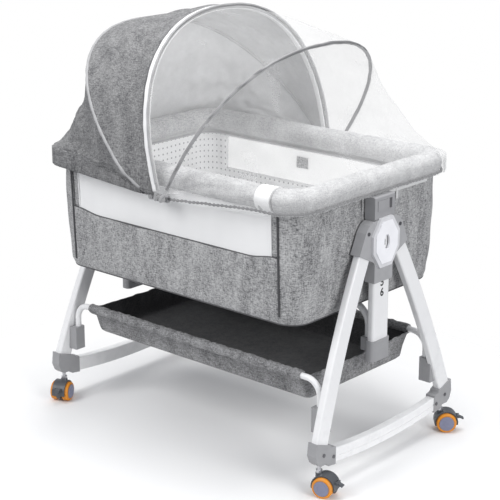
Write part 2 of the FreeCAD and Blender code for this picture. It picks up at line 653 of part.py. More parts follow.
# ---- basket -----------------------------------------------------------------------------------
def basket_tube_bar(radius):
    """The back tube of the basket with both ends turned down into the brackets."""
    k = BASKET_BEND_R * (1 - math.sqrt(0.5))
    y, z = BASKET_TUBE_Y, BASKET_TUBE_Z
    end = BASKET_END_X
    edges = [Part.makeLine(Vector(-end, y, BASKET_TUBE_END), Vector(-end, y, z - BASKET_BEND_R)),
             Part.Arc(Vector(-end, y, z - BASKET_BEND_R), Vector(-end + k, y, z - k),
                      Vector(-BASKET_BEND_X, y, z)).toShape(),
             Part.makeLine(Vector(-BASKET_BEND_X, y, z), Vector(BASKET_BEND_X, y, z)),
             Part.Arc(Vector(BASKET_BEND_X, y, z), Vector(end - k, y, z - k),
                      Vector(end, y, z - BASKET_BEND_R)).toShape(),
             Part.makeLine(Vector(end, y, z - BASKET_BEND_R), Vector(end, y, BASKET_TUBE_END))]
    return pipe(edges, radius)


tube_back = basket_tube_bar(BASKET_TUBE_R)
tube_front = across_y(tube_back)
sleeve_r = BASKET_TUBE_R + BASKET_CLOTH_T
sleeve_at = Vector(-BASKET_SLEEVE_X, BASKET_TUBE_Y, BASKET_TUBE_Z)
sleeve = Part.makeCylinder(sleeve_r, 2 * BASKET_SLEEVE_X, sleeve_at, Vector(1, 0, 0))
basket = tray(BASKET_OUTER).cut(tray(shrunk(BASKET_OUTER, BASKET_CLOTH_T, BASKET_OUTER[0][0] + BASKET_CLOTH_T,
                                            BASKET_OUTER[-1][0] + 0.01)))
corner_hole = box((BASKET_SLEEVE_X, 400), (185, 240), (228, 300))
for side in (lambda s: s, across_y, across_x, lambda s: across_x(across_y(s))):
    basket = basket.cut(side(corner_hole))
basket = basket.fuse(sleeve).fuse(across_y(sleeve)).cut(tube_back).cut(tube_front).removeSplitter()
basket = max(basket.Solids, key=lambda s: s.Volume)
bracket_y = (BASKET_TUBE_Y - BRACKET_HALF_Y, BASKET_TUBE_Y + BRACKET_HALF_Y + BRACKET_ON)
bracket = box((BRACKET_IN, FOOT_X - 2), bracket_y, BRACKET_Z)
bracket = soft_edges(bracket, 3.0, 50).cut(leg_outer).cut(tube_back)
bracket = max(bracket.Solids, key=lambda s: s.Volume)


# ---- casters ----------------------------------------------------------------------------------
def caster_hood():
    """The hood with its axle, ears and brake pin; the swivel axis is at x = y = 0."""
    axle_at = Vector(TRAIL, 0, WHEEL_R)
    half_disc = Part.makeCylinder(FENDER_OUT, 2 * WEB_HALF_W, Vector(0, -WEB_HALF_W, 0), Vector(0, 1, 0))
    fender = Part.makeCylinder(FENDER_OUT, 2 * FENDER_HALF_W, Vector(0, -FENDER_HALF_W, 0), Vector(0, 1, 0))
    fender = fender.cut(Part.makeCylinder(FENDER_IN, 2 * FENDER_HALF_W, Vector(0, -FENDER_HALF_W, 0),
                                          Vector(0, 1, 0)))
    upper = box((-60, 60), (-60, 60), (-6, 60))
    hood = half_disc.common(box((-60, 60), (-60, 60), (-14, 60))).fuse(fender.common(upper))
    hood = hood.fuse(Part.makeCylinder(AXLE_R, 2 * (WHEEL_INNER_Y + WHEEL_W - 3),
                                       Vector(0, -(WHEEL_INNER_Y + WHEEL_W - 3), 0), Vector(0, 1, 0)))
    hood.translate(axle_at)
    hood = hood.fuse(Part.makeCylinder(BARREL_R, BARREL_TOP - 28, Vector(0, 0, 28)))
    wheel_room = Part.makeCylinder(WHEEL_R + 1, WHEEL_W + 2, Vector(TRAIL, WHEEL_INNER_Y - RUN_GAP, WHEEL_R),
                                   Vector(0, 1, 0))
    wheel_room = wheel_room.cut(Part.makeCylinder(AXLE_R, 60, Vector(TRAIL, 0, WHEEL_R), Vector(0, 1, 0)))
    hood = hood.cut(wheel_room).cut(across_y(wheel_room))
    pin_x, pin_z = lever_pin()
    for side in (-1, 1):
        low = LEVER_HALF_W + RUN_GAP
        y = (low, low + EAR_T) if side > 0 else (-low - EAR_T, -low)
        hood = hood.fuse(box((pin_x - LEVER_R - 3, pin_x + LEVER_R), y, (pin_z - LEVER_R, pin_z + LEVER_R)))
    reach = LEVER_HALF_W + EAR_T
    hood = hood.fuse(Part.makeCylinder(LEVER_PIN_R, 2 * reach, Vector(pin_x, -reach, pin_z), Vector(0, 1, 0)))
    stem_bore = Part.makeCylinder(STEM_R + PIN_GAP, 40, Vector(0, 0, STEM_BOTTOM - 0.5))
    return max(hood.cut(stem_bore).removeSplitter().Solids, key=lambda s: s.Volume)


def lever_pin():
    """x and z of the brake lever's pin."""
    far = FENDER_OUT + LEVER_R + RUN_GAP
    a = math.radians(LEVER_RISE)
    return TRAIL + far * math.cos(a), WHEEL_R + far * math.sin(a)


def brake_lever():
    x, z = lever_pin()
    lever = Part.makeCylinder(LEVER_R, 2 * LEVER_HALF_W, Vector(x, -LEVER_HALF_W, z), Vector(0, 1, 0))
    arm = box((x, x + LEVER_ARM), (-LEVER_HALF_W, LEVER_HALF_W), (z - LEVER_T / 2, z + LEVER_T / 2))
    arm.rotate(Vector(x, 0, z), Vector(0, 1, 0), 25)
    lever = lever.fuse(arm)
    bore = Part.makeCylinder(LEVER_PIN_R + PIN_GAP, 4 * LEVER_HALF_W, Vector(x, -2 * LEVER_HALF_W, z),
                             Vector(0, 1, 0))
    return lever.cut(bore)


def wheel():
    """One of the twin wheels, on the side of positive y."""
    at = Vector(TRAIL, WHEEL_INNER_Y, WHEEL_R)
    disc = Part.makeCylinder(WHEEL_R, WHEEL_W, at, Vector(0, 1, 0))
    disc = disc.makeFillet(WHEEL_EDGE, [e for e in disc.Edges if e.Closed])
    return disc.cut(Part.makeCylinder(AXLE_R + PIN_GAP, WHEEL_W - 2.5, at, Vector(0, 1, 0)))


def stem():
    pin = Part.makeCylinder(STEM_R, STEM_TOP - STEM_BOTTOM, Vector(0, 0, STEM_BOTTOM))
    return pin.fuse(Part.makeCylinder(COLLAR_R, COLLAR_TOP - COLLAR_BOTTOM, Vector(0, 0, COLLAR_BOTTOM)))


# each caster: name, sign of x, sign of y, direction in which its wheels trail
CASTERS = [("front_right", 1, -1, 15.0), ("back_right", 1, 1, 41.0), ("front_left", -1, -1, -65.0),
           ("back_left", -1, 1, 165.0)]


def placed(shape, sx, sy, turn):
    out = shape.copy()
    out.rotate(Vector(0, 0, 0), Vector(0, 0, 1), turn)
    out.translate(Vector(sx * FOOT_X, sy * FOOT_Y, 0))
    return out


hood_shape = caster_hood()
lever_shape = brake_lever()
wheel_shape = wheel()
stem_shape = stem()
stems = []
for name, sx, sy, turn in CASTERS:
    save("caster_hood_" + name, placed(hood_shape, sx, sy, turn))
    save("caster_wheels_" + name, placed(wheel_shape, sx, sy, turn),
         placed(across_y(wheel_shape), sx, sy, turn))
    save("brake_lever_" + name, placed(lever_shape, sx, sy, turn))
    stems.append(placed(stem_shape, sx, sy, 0))
save("caster_stems", *stems)

save("leg_back_right", leg_back)
save("leg_front_right", across_y(leg_back))
save("leg_back_left", across_x(leg_back))
save("leg_front_left", across_x(across_y(leg_back)))
save("rocker_right", rocker)
save("rocker_left", across_x(rocker))
save("corner_joints", corner, across_y(corner), across_x(corner), across_x(across_y(corner)))
save("hub_right", hub)
save("hub_left", across_x(hub))
save("hub_button_right", button)
save("hub_button_left", across_x(button))
screws = []
for piece in corner_screws:
    screws += [piece, across_y(piece), across_x(piece), across_x(across_y(piece))]
for piece in hub_screws:
    screws += [piece, across_x(piece)]
save("frame_screws", *screws)
save("basket_brackets", bracket, across_y(bracket), across_x(bracket), across_x(across_y(bracket)))
save("basket_tube_back", tube_back)
save("basket_tube_front", tube_front)
save("storage_basket", basket)

save("column_right", column)
save("column_left", across_x(column))
save("column_end_caps", cap, across_x(cap))
save("rim_connector_right", block)
save("rim_connector_left", across_x(block))
save("rim_latch_right", latch)
save("rim_latch_left", across_x(latch))
save("floor_bar", floor_bar)
save("tub_shell", tub_shell)
save("lining", lining)
save("floor_board", floor_board)
save("mattress", mattress)
save("rim_tube", rim_tube)
save("rim_roll", rim_roll)
save("back_window_net", back_net)
save("side_zippers", side_zip, across_x(side_zip))
save("end_zipper", end_zip.fuse(end_pull))

save("rail_roll", rail_roll)
save("rail_tube", rail_tube)
save("rail_band", rail_band)
save("drop_window_net", front_net)
save("drop_window_border", border_right, across_x(border))

save("cover_hem", hem)
save("bow_clips", clip, across_y(clip))
save("canopy_rear_bow", bow_rod(BOW_A, BOW_B))
save("canopy_front_bow", bow_rod(BOW_B, BOW_C))
save("net_bow", bow_rod(BOW_C))
half_gap = RUN_GAP / 2
save("canopy_back_cloth", end_cloth(-1, BOW_A, -half_gap))
save("canopy_top_cloth", cloth([over_bow(BOW_A, half_gap), over_bow(BOW_B, -half_gap)]))
save("net_middle", cloth([over_bow(BOW_B, half_gap), over_bow(BOW_C, -half_gap)]))
save("net_end", end_cloth(1, BOW_C, half_gap))
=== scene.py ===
"""Bedside sleeper crib: looks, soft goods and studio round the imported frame.

Metres, +Z up. X runs along the crib from the hooded head end (-X) to the foot end (+X), and -Y is the side
that drops towards the bed.
"""

import logging
import math
from abc import ABC, abstractmethod
from dataclasses import dataclass
from enum import Enum
from typing import Callable, Iterable, Sequence

import bmesh
import bpy
import numpy as np
from mathutils import Matrix, Vector


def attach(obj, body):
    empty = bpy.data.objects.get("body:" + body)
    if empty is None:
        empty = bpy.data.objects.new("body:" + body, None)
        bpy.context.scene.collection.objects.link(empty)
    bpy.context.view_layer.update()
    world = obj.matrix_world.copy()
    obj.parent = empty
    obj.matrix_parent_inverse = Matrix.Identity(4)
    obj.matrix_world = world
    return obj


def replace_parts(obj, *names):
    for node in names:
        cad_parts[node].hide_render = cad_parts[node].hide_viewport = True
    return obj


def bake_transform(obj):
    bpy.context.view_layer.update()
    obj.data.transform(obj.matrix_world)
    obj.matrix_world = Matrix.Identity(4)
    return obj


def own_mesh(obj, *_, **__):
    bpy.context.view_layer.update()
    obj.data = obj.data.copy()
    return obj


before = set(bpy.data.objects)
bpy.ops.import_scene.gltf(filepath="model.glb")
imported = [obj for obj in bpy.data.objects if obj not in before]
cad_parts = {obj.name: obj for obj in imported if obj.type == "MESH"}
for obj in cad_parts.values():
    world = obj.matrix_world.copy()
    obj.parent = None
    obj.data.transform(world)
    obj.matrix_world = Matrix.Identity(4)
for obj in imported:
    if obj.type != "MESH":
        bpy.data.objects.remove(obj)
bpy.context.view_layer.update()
SHARP = math.radians(50)  # an edge that turns by more than this is rounded by a bevel
SAME_POINT = 1e-6
NO_LENGTH = 1e-7
UPRIGHT = 0.999  # the z of a unit vector past which it counts as upright
log = logging.getLogger("crib")

Rgb = tuple[float, float, float]
Points = np.ndarray


class End(Enum):
    """The two ends of the crib, as the sign of x."""

    HEAD = -1
    FOOT = 1


class Side(Enum):
    """The two long sides of the crib, as the sign of y."""

    BED = -1
    BACK = 1


# ---- finishes ---------------------------------------------------------------------------------------


class Graph:
    """A material's node tree with short ways to add to it."""

    def __init__(self, name: str) -> None:
        """Starts a material with one shader."""
        self.material = bpy.data.materials.new(name)
        self.material.use_nodes = True
        self.tree = self.material.node_tree
        self.shader = self.tree.nodes["Principled BSDF"]
        self.place = self.tree.nodes.new("ShaderNodeTexCoord").outputs["Object"]

    def put(self, socket: bpy.types.NodeSocket, value: object) -> None:
        """Links an output to the socket, or sets its plain value."""
        if isinstance(value, bpy.types.NodeSocket):
            self.tree.links.new(value, socket)
        else:
            socket.default_value = value

    def node(self, kind: str, inputs: dict[str | int, object], **settings: object) -> bpy.types.Node:
        """Adds a node.

        Args:
            kind: the node's type without its ShaderNode prefix.
            inputs: values or outputs for its sockets, by name or number.
            settings: the node's own properties.

        Returns:
            The new node.
        """
        made = self.tree.nodes.new("ShaderNode" + kind)
        for key, value in settings.items():
            setattr(made, key, value)
        for key, value in inputs.items():
            self.put(made.inputs[key], value)
        return made

    def stretched(self, scale: Sequence[float]) -> bpy.types.NodeSocket:
        """Object coordinates with each axis scaled."""
        return self.node("Mapping", {"Vector": self.place, "Scale": tuple(scale)}).outputs["Vector"]

    def noise(self, scale: float, detail: float, place: bpy.types.NodeSocket | None = None,
              roughness: float = 0.5) -> bpy.types.NodeSocket:
        """Smooth noise from 0 to 1, in object coordinates."""
        found = self.place if place is None else place
        inputs = {"Vector": found, "Scale": scale, "Detail": detail, "Roughness": roughness}
        return self.node("TexNoise", inputs).outputs["Fac"]

    def spread(self, value: bpy.types.NodeSocket, low: float, high: float, to_low: float = 0.0,
               to_high: float = 1.0) -> bpy.types.NodeSocket:
        """The value mapped from one range to another and kept in it."""
        made = self.node("MapRange", {"Value": value, "From Min": low, "From Max": high, "To Min": to_low,
                                      "To Max": to_high})
        return made.outputs["Result"]

    def math(self, kind: str, a: object, b: object = 0.0) -> bpy.types.NodeSocket:
        """One arithmetic step."""
        return self.node("Math", {0: a, 1: b}, operation=kind).outputs["Value"]

    def mix(self, share: object, a: object, b: object) -> bpy.types.NodeSocket:
        """Colour a turning into colour b as the share goes from 0 to 1."""
        made = self.tree.nodes.new("ShaderNodeMix")
        made.data_type = "RGBA"
        self.put(made.inputs["Factor"], share)
        for socket, value in ((made.inputs[6], a), (made.inputs[7], b)):
            self.put(socket, (*value, 1.0) if isinstance(value, tuple) else value)
        return made.outputs[2]

    def bump(self, height: bpy.types.NodeSocket, distance: float, strength: float = 1.0,
             normal: bpy.types.NodeSocket | None = None) -> bpy.types.NodeSocket:
        """A bumped normal, on top of another one if it is given."""
        inputs = {"Height": height, "Distance": distance, "Strength": strength}
        if normal is not None:
            inputs["Normal"] = normal
        return self.node("Bump", inputs).outputs["Normal"]

    def finish(self, colour: object, roughness: object, normal: bpy.types.NodeSocket | None = None,
               **constants: float) -> bpy.types.Material:
        """Connects the shader.

        Args:
            colour: base colour, an output or a plain colour.
            roughness: an output or a number.
            normal: the bumped normal.
            constants: further shader sockets, with _ for a space.

        Returns:
            The finished material.
        """
        self.put(self.shader.inputs["Base Color"], (*colour, 1.0) if isinstance(colour, tuple) else colour)
        self.put(self.shader.inputs["Roughness"], roughness)
        if normal is not None:
            self.put(self.shader.inputs["Normal"], normal)
        for key, value in constants.items():
            self.put(self.shader.inputs[key.replace("_", " ")], value)
        return self.material


class Finish(ABC):
    """Anything that can build its material."""

    @abstractmethod
    def build(self) -> bpy.types.Material:
        """The material of this finish."""


@dataclass(frozen=True)
class Melange(Finish):
    """Heathered woven polyester with light and dark yarns."""

    name: str
    light: Rgb
    dark: Rgb
    grain: float = 290.0
    crease: float = 0.0020
    contrast: float = 0.10

    def build(self) -> bpy.types.Material:
        """Yarn flecks over a slow mottle, with a woven surface."""
        g = Graph(self.name)
        flecks = g.noise(self.grain, 3.0, g.stretched((0.8, 0.8, 1.25)), 0.75)
        threads = g.noise(1.0, 1.0, g.stretched((90.0, 90.0, 420.0)))
        upright = g.noise(1.0, 1.0, g.stretched((420.0, 420.0, 90.0)))
        mottle = g.noise(1.0, 3.0, g.stretched((34.0, 34.0, 8.0)))
        crossed = g.math("MULTIPLY", g.math("ADD", threads, upright), 0.20)
        fine = g.math("ADD", g.math("MULTIPLY", flecks, 0.40), g.math("MULTIPLY", mottle, 0.20))
        yarn = g.math("ADD", fine, crossed)
        colour = g.mix(g.spread(yarn, 0.5 - self.contrast, 0.5 + self.contrast), self.dark, self.light)
        folds = g.bump(g.noise(15.0, 3.0, None, 0.45), self.crease, 0.7)
        normal = g.bump(g.noise(1500.0, 1.0), 0.00006, 0.6, g.bump(flecks, 0.0001, 0.6, folds))
        return g.finish(colour, g.spread(flecks, 0.2, 0.8, 0.86, 0.97), normal, Sheen_Weight=0.12,
                        Sheen_Roughness=0.6, Specular_IOR_Level=0.25)


@dataclass(frozen=True)
class DottedCotton(Finish):
    """White cotton with small grey dots on a square layout."""

    name: str
    ground: Rgb
    dot: Rgb
    pitch: float = 0.016
    radius: float = 0.13

    def build(self) -> bpy.types.Material:
        """Dots by distance from the middle of each square cell, over fine cotton."""
        g = Graph(self.name)
        parts = g.node("SeparateXYZ", {"Vector": g.place})
        along = g.math("ADD", parts.outputs["X"], parts.outputs["Y"])
        flat = g.node("CombineXYZ", {"X": along, "Y": parts.outputs["Z"], "Z": 0.0}).outputs["Vector"]
        cells = g.node("TexVoronoi", {"Vector": flat, "Scale": 1.0 / self.pitch, "Randomness": 0.0},
                       voronoi_dimensions="2D")
        inside = g.spread(cells.outputs["Distance"], self.radius, self.radius + 0.05, 1.0, 0.0)
        cotton = g.noise(900.0, 2.0)
        shaded = tuple(v * 0.965 for v in self.ground)
        soft = g.mix(g.spread(g.noise(14.0, 2.0), 0.3, 0.7), self.ground, shaded)
        colour = g.mix(inside, soft, self.dot)
        normal = g.bump(cotton, 0.00005, 0.5, g.bump(g.noise(24.0, 2.0), 0.0012, 0.6))
        return g.finish(colour, 0.9, normal, Sheen_Weight=0.1, Sheen_Roughness=0.5, Specular_IOR_Level=0.2)


@dataclass(frozen=True)
class PlainCotton(Finish):
    """Plain woven cotton or tape in one colour."""

    name: str
    colour: Rgb
    depth: float = 0.05
    rib: float = 0.0

    def build(self) -> bpy.types.Material:
        """A fine weave with a faint change of shade, ribbed across if asked for."""
        g = Graph(self.name)
        shade = g.spread(g.noise(40.0, 3.0), 0.3, 0.7)
        colour = g.mix(shade, self.colour, tuple(v * (1.0 - self.depth) for v in self.colour))
        normal = g.bump(g.noise(1100.0, 2.0), 0.00006, 0.6)
        if self.rib:
            bands = g.node("TexWave", {"Vector": g.place, "Scale": self.rib, "Distortion": 1.5})
            normal = g.bump(bands.outputs["Fac"], 0.00015, 0.5, normal)
        return g.finish(colour, 0.88, normal, Sheen_Weight=0.1, Sheen_Roughness=0.5, Specular_IOR_Level=0.25)


@dataclass(frozen=True)
class Netting(Finish):
    """Sheer knitted net that lets most light through."""

    name: str
    colour: Rgb
    cover: float
    cell: float = 0.0022

    def build(self) -> bpy.types.Material:
        """Cover that varies with the knit and with slow folds."""
        g = Graph(self.name)
        knit = g.node("TexVoronoi", {"Vector": g.place, "Scale": 1.0 / self.cell}).outputs["Distance"]
        holes = g.spread(knit, 0.15, 0.6, -0.025, 0.025)
        folds = g.spread(g.noise(9.0, 2.0, g.stretched((1.0, 1.6, 0.5))), 0.3, 0.7, -0.03, 0.05)
        cover = g.math("ADD", g.math("ADD", holes, folds), self.cover)
        g.material.surface_render_method = "BLENDED"
        shade = g.mix(g.spread(knit, 0.1, 0.6), self.colour, tuple(v * 0.93 for v in self.colour))
        normal = g.bump(knit, 0.00008, 0.4)
        return g.finish(shade, 0.85, normal, Alpha=cover, Specular_IOR_Level=0.2, Sheen_Weight=0.2,
                        Sheen_Roughness=0.4)


@dataclass(frozen=True)
class Paint(Finish):
    """Powder paint on steel tube."""

    name: str
    colour: Rgb
    shade: Rgb

    def build(self) -> bpy.types.Material:
        """A fine orange peel, darker in patches towards the bottom."""
        g = Graph(self.name)
        height = g.node("SeparateXYZ", {"Vector": g.place}).outputs["Z"]
        patches = g.spread(g.noise(35.0, 4.0), 0.5, 0.8)
        # the shade colour laid on in patches, more of it towards the bottom
        patch_share = g.math("MULTIPLY", patches, g.spread(height, 0.05, 0.45, 0.6, 0.1))
        colour = g.mix(patch_share, self.colour, self.shade)
        rough = g.spread(g.noise(60.0, 3.0), 0.3, 0.7, 0.28, 0.4)
        normal = g.bump(g.noise(700.0, 2.0), 0.00002, 0.5)
        return g.finish(colour, rough, normal, Coat_Weight=0.25, Coat_Roughness=0.2, Specular_IOR_Level=0.5)


@dataclass(frozen=True)
class MouldedPlastic(Finish):
    """Injection-moulded plastic with a fine spark texture."""

    name: str
    colour: Rgb
    rough: float = 0.48
    grain: float = 0.00002

    def build(self) -> bpy.types.Material:
        """Spark-eroded grain with a slight change of shade."""
        g = Graph(self.name)
        shade = g.spread(g.noise(30.0, 3.0), 0.3, 0.7)
        colour = g.mix(shade, self.colour, tuple(v * 0.93 for v in self.colour))
        rough = g.spread(g.noise(90.0, 2.0), 0.3, 0.7, self.rough - 0.05, self.rough + 0.06)
        normal = g.bump(g.noise(1300.0, 2.0), self.grain, 0.5)
        return g.finish(colour, rough, normal, Specular_IOR_Level=0.45)


@dataclass(frozen=True)
class HubPlastic(Finish):
    """The hub's grey body with its paler ring proud of it, outside a given distance from the middle."""

    name: str
    body: Rgb
    ring: Rgb
    ring_x: float

    def build(self) -> bpy.types.Material:
        """Two shades split across x, with the grain of moulded plastic."""
        g = Graph(self.name)
        x = g.math("ABSOLUTE", g.node("SeparateXYZ", {"Vector": g.place}).outputs["X"])
        outside = g.math("GREATER_THAN", x, self.ring_x)
        colour = g.mix(outside, self.body, self.ring)
        mottled = g.mix(g.spread(g.noise(30.0, 3.0), 0.3, 0.7, 0.0, 0.12), colour, (0.05, 0.05, 0.055))
        normal = g.bump(g.noise(1300.0, 2.0), 0.00002, 0.5)
        return g.finish(mottled, g.spread(g.noise(90.0, 2.0), 0.3, 0.7, 0.4, 0.52), normal)


@dataclass(frozen=True)
class Rubber(Finish):
    """Soft tyre tread, dusty in patches."""

    name: str
    colour: Rgb
    dusty: Rgb

    def build(self) -> bpy.types.Material:
        """Matt rubber with worn patches."""
        g = Graph(self.name)
        patch_share = g.spread(g.noise(120.0, 4.0), 0.45, 0.75, 0.0, 0.5)
        normal = g.bump(g.noise(900.0, 2.0), 0.00004, 0.5)
        return g.finish(g.mix(patch_share, self.colour, self.dusty), 0.55, normal, Specular_IOR_Level=0.35)


@dataclass(frozen=True)
class Steel(Finish):
    """Zinc-plated steel with turning marks."""

    name: str
    colour: Rgb

    def build(self) -> bpy.types.Material:
        """Brushed metal."""
        g = Graph(self.name)
        marks = g.noise(500.0, 2.0, g.stretched((1.0, 1.0, 12.0)))
        rough = g.spread(marks, 0.3, 0.7, 0.25, 0.42)
        return g.finish(self.colour, rough, g.bump(marks, 0.00002, 0.4), Metallic=0.9)


@dataclass(frozen=True)
class ZipTape(Finish):
    """Woven tape with a row of small teeth."""

    name: str
    tape: Rgb
    teeth: Rgb
    pitch: float = 0.0026

    def build(self) -> bpy.types.Material:
        """Bands across the tape at the pitch of the teeth."""
        g = Graph(self.name)
        parts = g.node("SeparateXYZ", {"Vector": g.place})
        along = g.math("ADD", parts.outputs["Z"], parts.outputs["Y"])
        wave = g.math("SINE", g.math("MULTIPLY", along, 2 * math.pi / self.pitch))
        colour = g.mix(g.spread(wave, -0.2, 0.3), self.tape, self.teeth)
        return g.finish(colour, 0.5, g.bump(wave, 0.0002, 0.7))


@dataclass(frozen=True)
class Floor(Finish):
    """Pale studio floor that fades out into the white behind it."""

    name: str
    colour: Rgb
    inner: float
    outer: float

    def build(self) -> bpy.types.Material:
        """Plain matt floor, clear past the outer radius."""
        g = Graph(self.name)
        away = g.node("VectorMath", {0: g.place}, operation="LENGTH").outputs["Value"]
        g.material.surface_render_method = "BLENDED"
        return g.finish(self.colour, 0.9, None, Alpha=g.spread(away, self.inner, self.outer, 1.0, 0.0),
                        Specular_IOR_Level=0.0)


class Palette:
    """Every finish of the crib, each built once."""

    def __init__(self) -> None:
        """Builds the materials."""
        self.shell = Melange("tub_melange", (0.54, 0.54, 0.54), (0.12, 0.12, 0.125)).build()
        self.hood = Melange("hood_melange", (0.30, 0.30, 0.30), (0.075, 0.075, 0.08)).build()
        self.roll = Melange("roll_melange", (0.58, 0.58, 0.58), (0.28, 0.28, 0.285), 320.0, 0.0012).build()
        self.hood_lining = PlainCotton("hood_lining_cotton", (0.58, 0.58, 0.585), 0.1).build()
        self.basket = Melange("basket_melange", (0.36, 0.36, 0.365), (0.085, 0.085, 0.088)).build()
        # inner face of the basket: the basket's melange made much darker, painted shade inside the basket
        self.basket_painted_shade = Melange("basket_coating", (0.075, 0.075, 0.078), (0.03, 0.03, 0.032)).build()
        self.dotted = DottedCotton("dotted_cotton", (0.97, 0.97, 0.97), (0.30, 0.30, 0.31)).build()
        self.sheeting = PlainCotton("mattress_cotton", (0.91, 0.91, 0.91), 0.04).build()
        self.white_tape = PlainCotton("white_tape", (0.88, 0.88, 0.88), 0.04, 160.0).build()
        self.grey_tape = PlainCotton("grey_binding", (0.12, 0.12, 0.125), 0.2, 160.0).build()
        self.pale_tape = PlainCotton("pale_piping", (0.42, 0.42, 0.425), 0.15, 160.0).build()
        self.net_tape = PlainCotton("net_binding", (0.20, 0.20, 0.205), 0.2, 160.0).build()
        self.seam = PlainCotton("seam_thread", (0.10, 0.10, 0.105), 0.2).build()
        self.net = Netting("cover_net", (0.82, 0.82, 0.82), 0.24).build()
        self.window = Netting("window_net", (0.97, 0.97, 0.97), 0.80).build()
        self.back_window = Netting("back_window_net", (0.97, 0.97, 0.97), 0.40).build()
        self.white_paint = Paint("white_paint", (0.86, 0.86, 0.865), (0.70, 0.70, 0.71)).build()
        self.grey_plastic = MouldedPlastic("grey_plastic", (0.35, 0.35, 0.36)).build()
        self.hub_plastic = HubPlastic("hub_plastic", (0.42, 0.42, 0.43), (0.74, 0.74, 0.76), 0.4212).build()
        self.pale_plastic = MouldedPlastic("pale_plastic", (0.96, 0.96, 0.99), 0.4).build()
        self.hood_plastic = MouldedPlastic("caster_plastic", (0.085, 0.09, 0.10), 0.42).build()
        self.cap_plastic = MouldedPlastic("wheel_cap", (0.215, 0.225, 0.32), 0.4).build()
        self.tyre = Rubber("orange_tyre", (0.74, 0.27, 0.02), (0.50, 0.30, 0.16)).build()
        self.steel = Steel("plated_steel", (0.62, 0.62, 0.64)).build()
        self.screw = Steel("dark_screws", (0.16, 0.16, 0.17)).build()
        self.board = PlainCotton("floor_board_cover", (0.5, 0.5, 0.5), 0.1).build()
        self.zip = ZipTape("zip_tape", (0.02, 0.02, 0.022), (0.09, 0.09, 0.095)).build()
        self.white_zip = ZipTape("white_zip", (0.62, 0.62, 0.62), (0.8, 0.8, 0.8)).build()
        self.ink = PlainCotton("black_ink", (0.012, 0.012, 0.012), 0.1).build()


# ---- mesh helpers -----------------------------------------------------------------------------------


def new_object(name: str, points: Points, faces: Iterable[Sequence[int]],
               material: bpy.types.Material) -> bpy.types.Object:
    """A smooth mesh object in the scene, with its doubles merged."""
    mesh = bpy.data.meshes.new(name)
    mesh.from_pydata([tuple(p) for p in points.reshape(-1, 3)], [], [tuple(f) for f in faces])
    work = bmesh.new()
    work.from_mesh(mesh)
    bmesh.ops.remove_doubles(work, verts=work.verts, dist=SAME_POINT)
    bmesh.ops.dissolve_degenerate(work, dist=NO_LENGTH, edges=work.edges)
    work.to_mesh(mesh)
    work.free()
    made = bpy.data.objects.new(name, mesh)
    bpy.context.scene.collection.objects.link(made)
    mesh.materials.append(material)
    mesh.polygons.foreach_set("use_smooth", [True] * len(mesh.polygons))
    mesh.update()
    return made


def grid_faces(rows: int, columns: int, wrap_rows: bool = False, wrap_columns: bool = False,
               keep: Callable[[int, int], bool] | None = None) -> list[tuple[int, int, int, int]]:
    """Quads over a grid of points, row by row."""
    found = []
    for i in range(rows if wrap_rows else rows - 1):
        for j in range(columns if wrap_columns else columns - 1):
            if keep is None or keep(i, j):
                k, m = (i + 1) % rows, (j + 1) % columns
                found.append((i * columns + j, i * columns + m, k * columns + m, k * columns + j))
    return found


def only(piece: bpy.types.Object) -> None:
    """Makes the piece the only selected and active object."""
    bpy.ops.object.select_all(action="DESELECT")
    piece.select_set(True)
    bpy.context.view_layer.objects.active = piece


def applied(piece: bpy.types.Object, kind: str, **settings: object) -> bpy.types.Object:
    """The piece after a modifier."""
    only(piece)
    modifier = piece.modifiers.new(kind.lower(), kind)
    for key, value in settings.items():
        setattr(modifier, key, value)
    bpy.ops.object.modifier_apply(modifier=modifier.name)
    return piece


def thickened(piece: bpy.types.Object, thickness: float, inner: bpy.types.Material | None = None,
              offset: float = -1.0) -> bpy.types.Object:
    """The sheet with a real thickness, and its own material on the inner face if one is given."""
    if inner is not None:
        piece.data.materials.append(inner)
    shift = 0 if inner is None else 1
    return applied(piece, "SOLIDIFY", thickness=thickness, offset=offset, material_offset=shift)


def dressed(piece: bpy.types.Object, material: bpy.types.Material) -> bpy.types.Object:
    """The piece in this finish alone."""
    piece.data.materials.clear()
    piece.data.materials.append(material)
    return piece


def settled(piece: bpy.types.Object) -> bpy.types.Object:
    """The piece with its place, turn and size written into its mesh."""
    only(piece)
    bpy.ops.object.transform_apply(location=True, rotation=True, scale=True)
    return piece


def bevelled(piece: bpy.types.Object, width: float, segments: int) -> bpy.types.Object:
    """The piece with its sharp edges rounded."""
    return applied(piece, "BEVEL", width=width, segments=segments, limit_method="ANGLE", angle_limit=SHARP)


def distances(line: Points) -> Points:
    """The distance along a line at each of its points."""
    return np.concatenate([[0.0], np.cumsum(np.linalg.norm(np.diff(line, axis=0), axis=1))])


def ramp(value: Points, start: float, end: float) -> Points:
    """0 up to the start and 1 past the end, straight in between; the end may be the lower one."""
    return np.clip((value - start) / (end - start), 0, 1)


def eased(share: Points) -> Points:
    """A share from 0 to 1 with a soft start and a soft end."""
    return share * share * (3 - 2 * share)


def crossing(a: Points, b: Points) -> Points:
    """Unit vectors square to both sets of vectors."""
    made = np.cross(a, b)
    return made / np.maximum(np.linalg.norm(made, axis=-1, keepdims=True), 1e-12)


def normals_of(grid: Points) -> Points:
    """The normals of a grid surface at its points."""
    down = np.gradient(grid, axis=0)
    along = np.gradient(grid, axis=1)
    return crossing(along, down)


